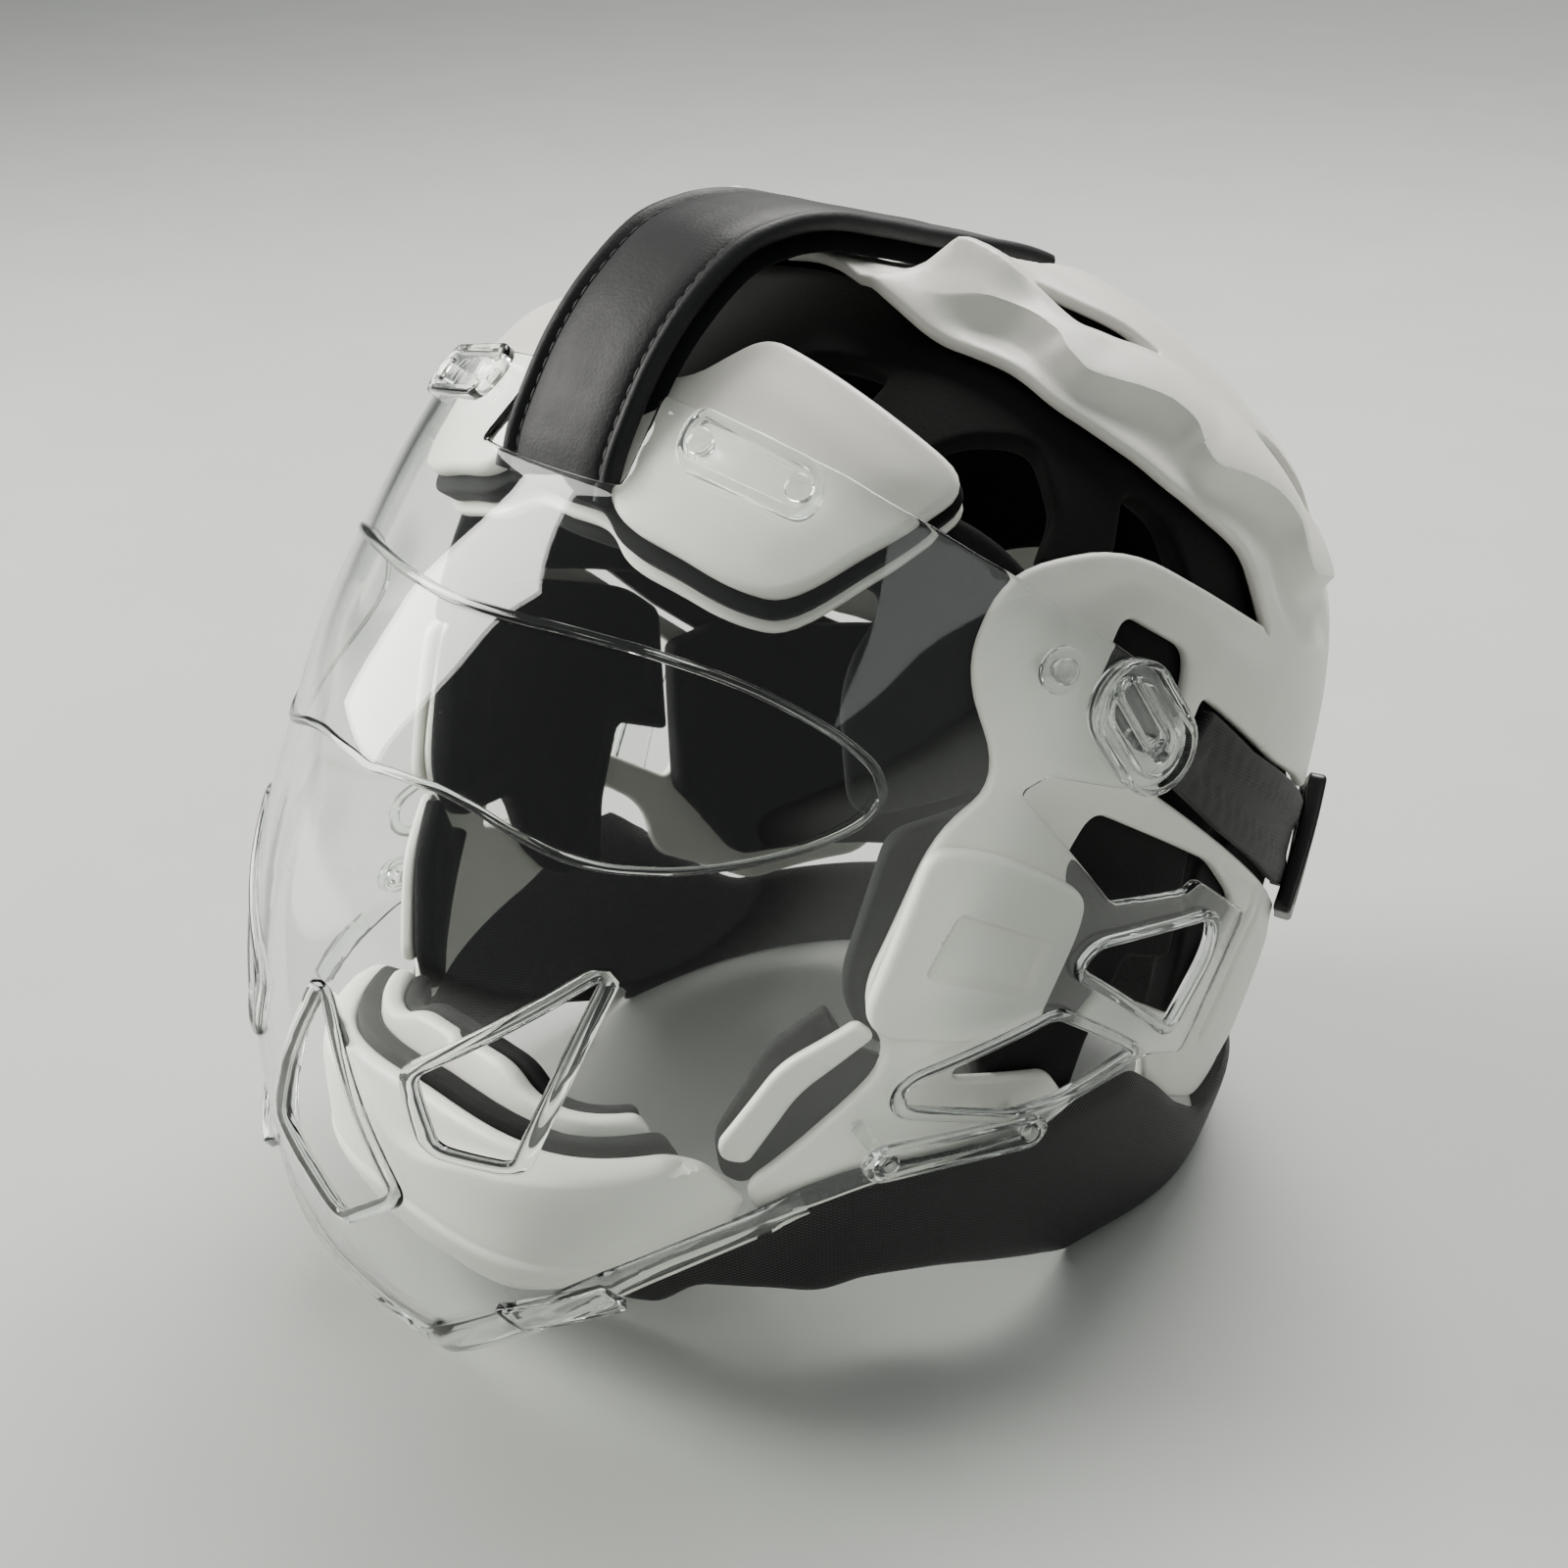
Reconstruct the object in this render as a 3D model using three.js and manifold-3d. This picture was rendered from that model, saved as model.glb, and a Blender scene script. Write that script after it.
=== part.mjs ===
// Sparring headgear: a white moulded shell over black foam, with a clear face shield snapped on.
// Millimetres, +Z up. The face looks along -Y and the wearer's left side is +X.
// A shell piece is a flat outline, extruded to its wall and wrapped on one of three smooth skins.

import * as THREE from 'three';
import { mergeVertices } from 'three/addons/utils/BufferGeometryUtils.js';
import Module from 'manifold-3d';

const wasm = await Module();
wasm.setup();

// Overall sizes. Every level, rise and radius in the tables is a percentage of HEIGHT
const HEIGHT = 250;
const SHELL_FRONT = 131;
const SHELL_REAR = 122;
const SHELL_HALF = 105;

// How far the shield stands outside the shell, in front of the face, behind and at the side,
// and where the chin's skin lies between them
const FACE_ROOM = 41;
const REAR_ROOM = 7;
const SIDE_ROOM = 5;
const CHIN_FORWARD = 19;
const CHIN_REAR = 42;
const CHIN_INSIDE = 29;
const SHIELD_FRONT = SHELL_FRONT + FACE_ROOM;
const SHIELD_REAR = SHELL_REAR + REAR_ROOM;
const SHIELD_HALF = SHELL_HALF + SIDE_ROOM;
const JAW_FRONT = SHELL_FRONT + CHIN_FORWARD;
const JAW_REAR = SHELL_REAR - CHIN_REAR;
const JAW_HALF = SHELL_HALF - CHIN_INSIDE;

// Walls and gaps
const SHELL_WALL = 3.2;
const SHIELD_WALL = 2.6;
const LINER_WALL = 7.3;
const PAD_WALL = 9.3;
const CHEEK_PLATE_WALL = 3;
const FOREHEAD_PLATE_WALL = 4;
const FOREHEAD_FOAM_WALL = 4.9;
const RAIL_WALL = 2.8;
const BUMPER_WALL = 7;
const CHIN_FOAM_WALL = 3.9;
const CHIN_RAIL_WALL = 4.9;
const CHIN_LINING_WALL = 4.4;
const BAND_WALL = 2.4;
const TOP_STRAP_WALL = 7.5;
const TOP_STRAP_WIDTH = 38;
const BUCKLE_WALL = 4.6;
const LAYER_GAP = 0.9;
const SOFT_GAP = 1.4;
const FIT = 0.3;
const SEAM = 0.6;

// Rim bead, buckle and fasteners of the shield
const RIM_WIDTH = 6;
const RIM_PROUD = 2.4;
const BUCKLE_WIDTH = 17;
const BUCKLE_LENGTH = 36;
const BUCKLE_BAR = 3.4;
const BUCKLE_ANGLE = 131;
const BUCKLE_LEVEL = 33.6;
const BUCKLE_TURN = -36;
const HEAD_WALL = 2;
const FOREHEAD_HEAD_RADIUS = 5;
const PIN_RADIUS = 2.8;
const TEMPLE_HEAD_RADIUS = 5;
const PIVOT_HEAD_RADIUS = 10;
const PIVOT_HEAD_WALL = 3.4;
const PIVOT_PIN_RADIUS = 4;
const JAW_HEAD_RADIUS = 4;
const JAW_PIN_RADIUS = 2.2;

// Ease of the moulded edges, and the longest facet edge on a skin
const BEVEL = 0.8;
const BUMPER_BEVEL = 1.2;
const FACET = 27;
const CROWN_FACET = 31;
const SHIELD_FACET = 33;
const SMALL_FACET = 18;
const PIN_FACET = 15;
const SMALL_EASE = 4;
const RELIEF_STEP = 7;
const RELIEF_FACET = 12;
const RELAX_PASSES = 12;

// The crown map is polar: its middle is the top of the head, its radius runs down over the side
const CROWN_TOP = 0.96 * HEIGHT;
const CROWN_SPRING = 0.52 * HEIGHT;
const CROWN_RADIUS = 0.472 * HEIGHT;
const SEAM_ANGLE = 106;

const SECTION_Y = (SHIELD_FRONT - SHELL_REAR) / 2;
const DEGREE = Math.PI / 180;
const MM_PER_DEGREE = SHELL_HALF * DEGREE;
const percent = (share) => (share * HEIGHT) / 100;

const table = (names, rows) => {
  const columns = names.split(' ');
  return rows.map((row) => Object.fromEntries(columns.map((name, i) => [name, row[i] ?? 0])));
};

// Skins: front, rear and half width of each level are shares of the skin's own three sizes,
// and power squares the section's corners: 2 is an ellipse
const SKIN_COLUMNS = 'level front rear half power';

const SHELL = {
  front: SHELL_FRONT,
  rear: SHELL_REAR,
  half: SHELL_HALF,
  rows: table(SKIN_COLUMNS, [
    [0, 0.855, 0.705, 0.8, 2.3],
    [12, 0.962, 0.803, 0.867, 2.3],
    [24, 1, 0.885, 0.924, 2.3],
    [40, 0.977, 0.951, 0.971, 2.3],
    [56, 0.916, 1, 1, 2.2],
    [70, 0.817, 0.926, 0.971, 2],
    [80, 0.672, 0.746, 0.876, 1.9],
    [88, 0.504, 0.541, 0.705, 1.85],
    [93.6, 0.298, 0.311, 0.467, 1.85],
    [96, 0, 0, 0, 1.85],
  ]),
};

const SHIELD = {
  front: SHIELD_FRONT,
  rear: SHIELD_REAR,
  half: SHIELD_HALF,
  rows: table(SKIN_COLUMNS, [
    [0, 0.872, 0.465, 0.709, 2.5],
    [8, 0.948, 0.543, 0.818, 2.5],
    [18, 0.988, 0.651, 0.909, 2.4],
    [30, 1, 0.798, 0.964, 2.3],
    [40, 0.983, 0.915, 0.991, 2.25],
    [60, 0.884, 1, 1, 2.05],
    [72, 0.756, 0.922, 0.982, 2.05],
    [84, 0.57, 0.744, 0.891, 2.2],
    [96, 0.384, 0.465, 0.727, 2.2],
  ]),
};

const JAW = {
  front: JAW_FRONT,
  rear: JAW_REAR,
  half: JAW_HALF,
  rows: table(SKIN_COLUMNS, [
    [0, 0.853, 0.5, 0.684, 2.6],
    [4.8, 0.92, 0.625, 0.789, 3],
    [10, 0.973, 0.75, 0.895, 3.4],
    [16, 1, 0.825, 0.947, 3.6],
    [20.8, 1, 0.875, 0.974, 3.6],
    [26, 0.993, 0.925, 0.987, 3.4],
    [32, 0.973, 1, 1, 3.2],
  ]),
};

// Outlines on a side: angle in degrees from the front, level, and ease of the corner
const SIDE_COLUMNS = 'angle level ease';

const SIDE_FRAME = table(SIDE_COLUMNS, [
  [SEAM_ANGLE, 64.4],
  [79.5, 76.6, 5.6],
  [62, 76, 5.6],
  [55.5, 68.8, 8],
  [60, 58.8, 4.8],
  [52, 54.6, 4],
  [44, 39.2, 4],
  [48, 32.8, 4],
  [32, 20, 1.6],
  [33, 16.8, 1.2],
  [62, 19.6, 1.6],
  [74, 22, 0.8],
  [70, 26, 1.2],
  [55, 29, 1.2],
  [58, 32.4, 2],
  [64, 33.6, 2.4],
  [71, 44, 4],
  [68, 48.8, 4],
  [72.5, 53.6, 2],
  [97, 42.4, 2],
  [107, 34.8, 3.2],
  [101.5, 32, 2.4],
  [96.5, 24.8, 1.6],
  [77, 33.6, 0.6],
  [73.5, 31.4, 0.6],
  [90, 22.8, 3.2],
  [92, 16.4, 2],
  [112, 9.6, 2.4],
  [136, 11.2, 4],
  [140, 23.2, 4],
  [124, 29.6, 3.2],
  [82, 53.6, 1.6],
  [88, 57.6, 2],
  [91, 61, 1.2],
  [SEAM_ANGLE, 52],
]);

const PIVOT_HOLE = table(SIDE_COLUMNS, [
  [77.8, 70.8, 1.6],
  [88.5, 65.8, 2],
  [87, 60.8, 2.4],
  [80, 57.6, 2],
  [71.5, 64, 2.4],
]);

const CHEEK_PLATE = table(SIDE_COLUMNS, [
  [51, 54, 2],
  [58, 53, 3.2],
  [70.5, 46.8, 3.2],
  [70, 43.2, 2.4],
  [64.5, 33.6, 2.4],
  [58, 33.8, 2.4],
  [46, 36, 2],
  [44.2, 38.8, 2],
]);

const JAW_RAIL = table(SIDE_COLUMNS, [
  [44, 37.2, 0.8],
  [46, 35.6, 0.8],
  [38, 30.4, 2],
  [32.5, 22.8, 0.8],
  [30, 23.2, 0.8],
  [29.5, 24.8, 0.8],
  [36, 33.2, 2],
]);

const JAW_FOAM = table(SIDE_COLUMNS, [
  [41, 38, 0.8],
  [44, 33.4, 0.8],
  [48, 31.6, 0.8],
  [32, 18.8, 1.2],
  [29.5, 20, 1.2],
  [29, 24.8, 1.2],
  [35, 34.4, 1.6],
]);

const CHEEK_PAD = table(SIDE_COLUMNS, [
  [47.5, 54.4, 2],
  [42.2, 39.2, 4],
  [46, 33.6, 2],
  [59, 32, 2],
  [61, 25, 2],
  [66, 20, 2],
  [76, 18.4, 2],
  [78.5, 26.2, 1.2],
  [84, 34.6, 1.2],
  [94.4, 31.6, 1.2],
  [94.8, 46.4, 1.2],
  [89, 50, 2],
  [72, 54.2, 2],
  [59, 56.2, 2],
]);

const HEADBAND_HALF = table(SIDE_COLUMNS, [
  [0, 82.4],
  [50, 82.4, 2],
  [62, 78.8, 4],
  [68, 74, 4],
  [80, 72.4, 4],
  [92, 64.8, 3],
  [103, 57.2, 2],
  [112, 51.2, 1],
  [108, 44.8, 1],
  [92, 51.2, 3],
  [70, 56, 3],
  [58, 57.6, 2],
  [43, 56, 3],
  [41, 68, 4],
  [47, 74.8, 3],
  [40, 76, 2],
  [0, 76],
]);

// The nape pad and the elastic band cross the back: angle past the rear is mirrored there
const NAPE_PAD_HALF = table(SIDE_COLUMNS, [
  [180, 36.8],
  [125, 40, 2],
  [112, 43.2, 2],
  [97, 41.6, 1.2],
  [96, 24, 1.2],
  [108, 13.6, 2],
  [150, 12, 2],
  [180, 12],
]);

const REAR_STRAP_HALF = table(SIDE_COLUMNS, [
  [180, 33.6],
  [145, 35.2, 4],
  [129.4, 39.2, 4],
  [117.2, 45.6],
  [102.8, 52.8],
  [92.4, 59.4, 0.6],
  [84.6, 54, 0.6],
  [97, 46],
  [108, 39.8],
  [118, 34.2],
  [129, 29.4],
  [145, 25.6, 4],
  [180, 24],
]);

const SHIELD_HALF_OUTLINE = table(SIDE_COLUMNS, [
  [0, 82.4],
  [13.4, 82.4, 0.8],
  [13.2, 88.9, 0.8],
  [20, 88.4, 1],
  [30, 87.6, 2],
  [41.6, 85.1, 2],
  [51.9, 81.4, 2],
  [61, 77.1, 2],
  [69, 72.5, 2],
  [75.8, 68.4, 1],
  [81.5, 65.2, 2],
  [84.4, 62, 2],
  [83.8, 58.4, 2],
  [80.4, 55.2, 1.5],
  [74.7, 56.3, 1],
  [64.4, 59.5, 0.8],
  [61, 58.6, 0.8],
  [74.1, 45.2, 0.8],
  [87.2, 42.9, 1],
  [89.3, 43.6, 0.8],
  [101, 36.8, 1],
  [93, 22.8, 1],
  [84, 25.4, 2],
  [72, 24, 2],
  [66, 21.8, 2],
  [46, 23, 2],
  [37, 21.6, 2],
  [28, 18, 2],
  [19, 12, 3],
  [10, 5.2, 4],
  [4, 0.7, 2],
  [0, 0],
]);

const RIM_HALF = table('angle level', [
  [41, 22.4],
  [37, 21.6],
  [28, 18],
  [19, 12],
  [10, 5.2],
  [4, 0.7],
  [0, 0],
]);

const WING_WINDOW = table(SIDE_COLUMNS, [
  [69.5, 39.8, 1.2],
  [72, 41.4, 1.6],
  [93, 38.8, 2],
  [93.5, 34.8, 2.4],
  [88, 27.6, 1],
]);

const LOWER_WINDOW = table(SIDE_COLUMNS, [
  [49, 33.6, 1.6],
  [66.5, 35.6, 1.2],
  [81.5, 26.8, 0.8],
  [69, 25.4, 1.2],
  [62, 26, 1.6],
  [48.5, 31, 1.6],
]);

const MOUTH_VENT = table(SIDE_COLUMNS, [
  [10, 36, 1.2],
  [12, 29.6, 0.8],
  [18, 29.2, 0.8],
  [24.3, 47.2, 1.2],
]);

const KITE_VENT = table(SIDE_COLUMNS, [
  [0, 40.4, 1.2],
  [7.5, 22.8, 1.2],
  [0, 16.4, 1.2],
  [-7.5, 22.8, 1.2],
]);

// Chin layers, on the jaw skin, from the white bumper in to the lining
const BUMPER_HALF = table(SIDE_COLUMNS, [
  [0, 25.8],
  [17, 25.4, 1],
  [27, 25.2, 1],
  [30, 23.7, 1.2],
  [32.1, 20.6, 1],
  [32.9, 19.2, 1],
  [31, 16, 1.2],
  [28.6, 14.8, 1.2],
  [20, 12, 1.6],
  [13.6, 9.2, 1.6],
  [3, 7.6, 1],
  [0, 7],
]);

const CHIN_FOAM_HALF = table(SIDE_COLUMNS, [
  [0, 27],
  [18, 26.4, 1],
  [27, 26.2, 1],
  [29, 23, 1.2],
  [28, 17, 1.2],
  [18, 13.5, 1.6],
  [0, 10],
]);

const CHIN_RAIL_HALF = table(SIDE_COLUMNS, [
  [0, 30.6],
  [7, 30.6, 1],
  [10, 28.8, 1],
  [25, 27.6, 1],
  [27, 24.5, 1.2],
  [26, 19, 1.2],
  [18, 15, 1.6],
  [0, 12],
]);

const CHIN_LINING_HALF = table(SIDE_COLUMNS, [
  [0, 30.2],
  [8, 30, 1],
  [11, 28.4, 1],
  [25, 27, 1],
  [26.5, 24, 1.2],
  [26, 19, 1.2],
  [17, 15, 1.6],
  [0, 12.6],
]);

// Outlines on the crown map: u to the left side, v to the rear, and ease of the corner
const CROWN_COLUMNS = 'u v ease';

const CROWN_FRONT_EDGE = table(CROWN_COLUMNS, [
  [0, -13.2],
  [2.4, -13.2, 0.6],
  [3.2, -10.4, 0.6],
  [4.8, -10, 1.2],
  [10.8, -11.8, 2.4],
  [17.2, -10.8, 2],
  [24, -7.8, 2],
  [29.6, -7, 2],
  [35.2, -4.2, 2],
  [41.6, 0, 2],
  [46.4, 5.2, 2],
  [50.4, 11, 2],
]);

const CROWN_REAR_EDGE = table(CROWN_COLUMNS, [
  [72, 26.8, 3],
  [71.2, 34.8, 3],
  [69.6, 43.2, 3],
  [67.2, 52.4, 4],
  [60, 64, 4],
  [44.8, 76, 6],
  [24, 84.8, 6],
  [0, 87.6],
]);

const CROWN_VENT = table(CROWN_COLUMNS, [
  [14.4, 1.6, 0.6],
  [20.8, 1.8, 1],
  [24, 4.8, 1],
  [27.2, 10.4, 0.8],
  [23.2, 8.4, 1],
  [18.8, 4.8, 1],
]);

const REAR_VENT = table(CROWN_COLUMNS, [
  [35.2, 24.8, 1],
  [40, 32, 1.2],
  [41.6, 40, 1],
  [37.6, 38.4, 1.2],
  [34.4, 32, 1.2],
]);

const CROWN_LINER_HALF = table(CROWN_COLUMNS, [
  [0, -36.8],
  [7.2, -36, 0.8],
  [7.6, -24.8, 2.4],
  [10.8, -17.6, 3.2],
  [17.6, -15.2, 2.4],
  [19.6, -22.4, 1.6],
  [21.6, -28, 0.8],
  [26.4, -24.8, 0.8],
  [28, -15.2, 3.2],
  [31.6, -10, 2.4],
  [40, -12.8, 1.6],
  [43.2, -17.2, 0.8],
  [46.4, -16, 0.8],
  [47.2, -8.8, 2.4],
  [40.4, -3.6, 2],
  [45.2, 0.8, 1.6],
  [51.6, 2, 1.6],
  [60, 4, 2],
  [66, 16, 3.2],
  [64, 36, 3.2],
  [60, 52, 4],
  [40, 68, 6],
  [0, 78],
]);

const FOREHEAD_HALF = table(CROWN_COLUMNS, [
  [0, -43.6],
  [6.8, -43.2, 2.4],
  [11.2, -45.4, 4],
  [24, -44, 4],
  [30, -41.2, 7.2],
  [33.8, -28.8, 4],
  [34.2, -21.2, 3.6],
  [24, -22.6, 4],
  [10.8, -23.6, 2.4],
  [7.2, -31.6, 3.2],
  [0, -32.4],
]);

// How far the foam and the rail show past the plate: grown all round, then shifted to the front
const FOREHEAD_FOAM_SHOW = 1.5;
const FOREHEAD_RAIL_SHOW = 2.4;

// Outer face of the top strap, as its rise over the shell skin along the middle of the crown
const TOP_STRAP = table('v rise', [
  [-40.2, 5.8],
  [-37.2, 6.7],
  [-32.6, 7.9],
  [-27.2, 8.8],
  [-21.2, 9.3],
  [-15.8, 8.2],
  [-11.3, 6.5],
  [-5.7, 3.8],
  [0.8, 1.6],
  [8.9, 0.2],
  [18.3, 0.2],
]);

// Raised lobes on both sides of the strap, and where the strap's channel runs out to the rear
const LOBE = table('v rise', [
  [-13.2, 3.2],
  [-4, 3.2],
  [0, 1.6],
  [8, 0],
]);
const CHANNEL_END = 40;
const ARCH_FOOT = -26;
const ARCH_TOP = -13.2;
const CHANNEL_SIDE = 4;
const CHANNEL_EASE = 0.8;
const CHANNEL_SLOPE = 2.4;
const LOBE_WIDTH = 10;

// Chin strap: a closed loop round the nape and under the chin
const CHIN_STRAP = table('angle top bottom', [
  [0, 10.4, 3.2],
  [12, 10.4, 3.2],
  [20, 11.6, 4],
  [27, 15, 8],
  [33, 18.2, 7.4],
  [39.4, 21.1, 6.2],
  [45, 22.2, 7.1],
  [53, 22, 6.4],
  [64.4, 21.8, 4],
  [73, 22, 2],
  [84, 22.6, 0],
  [90, 20, 0],
  [102.8, 12.7, 0],
  [112, 9.6, 0],
  [180, 9.6, 0],
]);
const CHIN_STRAP_STEPS = 54;

// Smooth curve through one column of a table that never overshoots its rows
function smooth(rows, key, column, at, square = false) {
  const x = rows.map((row) => row[key]);
  const y = rows.map((row) => (square ? row[column] ** 2 : row[column]));
  const last = x.length - 1;
  const here = Math.min(Math.max(at, x[0]), x[last]);
  let i = 0;
  while (i < last - 1 && here > x[i + 1]) i += 1;
  const rise = (j) => (y[j + 1] - y[j]) / (x[j + 1] - x[j]);
  const slope = (j) => {
    if (j === 0) return rise(0);
    if (j === last) return rise(last - 1);
    const before = rise(j - 1);
    const after = rise(j);
    if (before * after <= 0) return 0;
    const wide = x[j + 1] - x[j];
    const narrow = x[j] - x[j - 1];
    return (3 * (wide + narrow)) / ((2 * wide + narrow) / before + (wide + 2 * narrow) / after);
  };
  const span = x[i + 1] - x[i];
  const t = (here - x[i]) / span;
  const value = y[i] * (1 + 2 * t) * (1 - t) ** 2 + y[i + 1] * t * t * (3 - 2 * t)
    + span * t * (1 - t) * (slope(i) * (1 - t) - slope(i + 1) * t);
  return square ? Math.sqrt(Math.max(value, 0)) : value;
}

const ease = (t) => {
  const s = Math.min(Math.max(t, 0), 1);
  return s * s * (3 - 2 * s);
};

// Point of a skin at an angle and height: its level section is a superellipse
function skinPoint(skin, angle, height) {
  const level = (100 * height) / HEIGHT;
  const size = (side) => Math.max(skin[side] * smooth(skin.rows, 'level', side, level, true), 1e-6);
  const power = smooth(skin.rows, 'level', 'power', level);
  const across = Math.sin(angle * DEGREE);
  const along = Math.cos(angle * DEGREE);
  const length = along > 0 ? size('front') : size('rear');
  const sum = Math.abs(across / size('half')) ** power + Math.abs(along / length) ** power;
  const radius = sum ** (-1 / power);
  return new THREE.Vector3(radius * across, SECTION_Y - radius * along, height);
}

// A flat side map: x is the angle unrolled at the shell's half width, y the height
const sideMap = (skin) => (x, y) => skinPoint(skin, x / MM_PER_DEGREE, y);

// The flat crown map, polar about the top of the head
function crownMap(u, v) {
  const radius = Math.max(Math.hypot(u, v), 0.5);
  const turn = radius / CROWN_RADIUS;
  const below = radius - (CROWN_RADIUS * Math.PI) / 2;
  const height = below < 0
    ? CROWN_SPRING + (CROWN_TOP - CROWN_SPRING) * Math.cos(turn)
    : CROWN_SPRING - below;
  return skinPoint(SHELL, Math.atan2(u, -v) / DEGREE, height);
}

// Move from a point of a map along the skin's outward normal
function lifted(map, x, y, depth) {
  const step = 0.2;
  const overX = map(x + step, y).sub(map(x - step, y));
  const overY = map(x, y + step).sub(map(x, y - step));
  return map(x, y).addScaledVector(overX.cross(overY).normalize(), depth);
}

// Corner points of an outline in the flat map, in millimetres
const sideCorners = (rows) => rows.map((row) => ({
  x: row.angle * MM_PER_DEGREE,
  y: percent(row.level),
  ease: percent(row.ease ?? 0),
}));
const crownCorners = (rows) => rows.map((row) => ({
  x: percent(row.u),
  y: percent(row.v),
  ease: percent(row.ease),
}));

// Whole outline from its left half: corners on the middle line are kept once
function mirrored(half, middle = 0) {
  const other = half.filter((corner) => Math.abs(corner.x - middle) > 1e-6)
    .map((corner) => ({ ...corner, x: 2 * middle - corner.x }));
  return [...half, ...other.reverse()];
}

const shifted = (corners, x, y) => corners.map((corner) => (
  { ...corner, x: corner.x + x, y: corner.y + y }));

// Outline with each side moved outwards by the same distance
function grown(corners, distance) {
  const turn = Math.sign(THREE.ShapeUtils.area(corners));
  const normal = (a, b) => new THREE.Vector2(b.y - a.y, a.x - b.x).normalize().multiplyScalar(turn);
  return corners.map((corner, i) => {
    const before = normal(corners[(i + corners.length - 1) % corners.length], corner);
    const after = normal(corner, corners[(i + 1) % corners.length]);
    const move = before.clone().add(after).multiplyScalar(distance / (1 + before.dot(after)));
    return { ...corner, x: corner.x + move.x, y: corner.y + move.y };
  });
}

// Corners eased by quadratic curves, the small ones by a chamfer
function trace(path, corners) {
  const towards = (from, to) => {
    const way = new THREE.Vector2(to.x - from.x, to.y - from.y);
    const length = Math.min(from.ease, 0.45 * way.length());
    return way.setLength(length).add(new THREE.Vector2(from.x, from.y));
  };
  corners.forEach((corner, i) => {
    if (corner.ease === 0) {
      path[i ? 'lineTo' : 'moveTo'](corner.x, corner.y);
      return;
    }
    const enter = towards(corner, corners[(i + corners.length - 1) % corners.length]);
    const leave = towards(corner, corners[(i + 1) % corners.length]);
    path[i ? 'lineTo' : 'moveTo'](enter.x, enter.y);
    if (corner.ease < SMALL_EASE) path.lineTo(leave.x, leave.y);
    else path.quadraticCurveTo(corner.x, corner.y, leave.x, leave.y);
  });
  return path;
}

const edgeKey = (a, b) => (a < b ? `${a} ${b}` : `${b} ${a}`);
const cross = (a, b, c) => (b.x - a.x) * (c.y - a.y) - (b.y - a.y) * (c.x - a.x);
const away = (from, to) => new THREE.Vector2(to.x - from.x, to.y - from.y);
const openness = (tip, a, b) => away(tip, a).angleTo(away(tip, b));

// Swap the edge between two triangles of one flat face wherever that makes them less slender
function relaxed(points, triangles) {
  for (let pass = 0; pass < RELAX_PASSES; pass += 1) {
    const owners = new Map();
    triangles.forEach((triangle, at) => triangle.forEach((a, k) => {
      owners.set(`${a} ${triangle[(k + 1) % 3]}`, { at, tip: triangle[(k + 2) % 3] });
    }));
    const busy = new Set();
    owners.forEach((mine, key) => {
      const [a, b] = key.split(' ').map(Number);
      const other = owners.get(`${b} ${a}`);
      if (a > b || !other || busy.has(mine.at) || busy.has(other.at)) return;
      const corners = [a, b, mine.tip, other.tip].map((i) => points[i]);
      if (corners.some((corner) => Math.abs(corner.z - corners[0].z) > 1e-6)) return;
      const [start, end, left, right] = corners;
      const turn = Math.sign(cross(start, end, left));
      const convex = turn * cross(left, right, end) > 1e-6 && turn * cross(right, left, start) > 1e-6;
      if (!convex || openness(left, start, end) + openness(right, start, end) < Math.PI + 1e-6) return;
      triangles[mine.at] = [mine.tip, a, other.tip];
      triangles[other.at] = [other.tip, b, mine.tip];
      busy.add(mine.at);
      busy.add(other.at);
    });
    if (busy.size === 0) return;
  }
}

// The triangles left when some edges of one triangle have a middle point; -1 is none
function pieces(a, b, c, ab, bc, ca) {
  const count = [ab, bc, ca].filter((m) => m >= 0).length;
  if (count === 0) return [[a, b, c]];
  if (count === 3) return [[a, ab, ca], [ab, b, bc], [ca, bc, c], [ab, bc, ca]];
  if (count === 1) {
    if (ab >= 0) return [[a, ab, c], [ab, b, c]];
    return pieces(b, c, a, bc, ca, ab);
  }
  if (ca < 0) return [[ab, b, bc], [a, ab, bc], [a, bc, c]];
  return pieces(b, c, a, bc, ca, ab);
}

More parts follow.
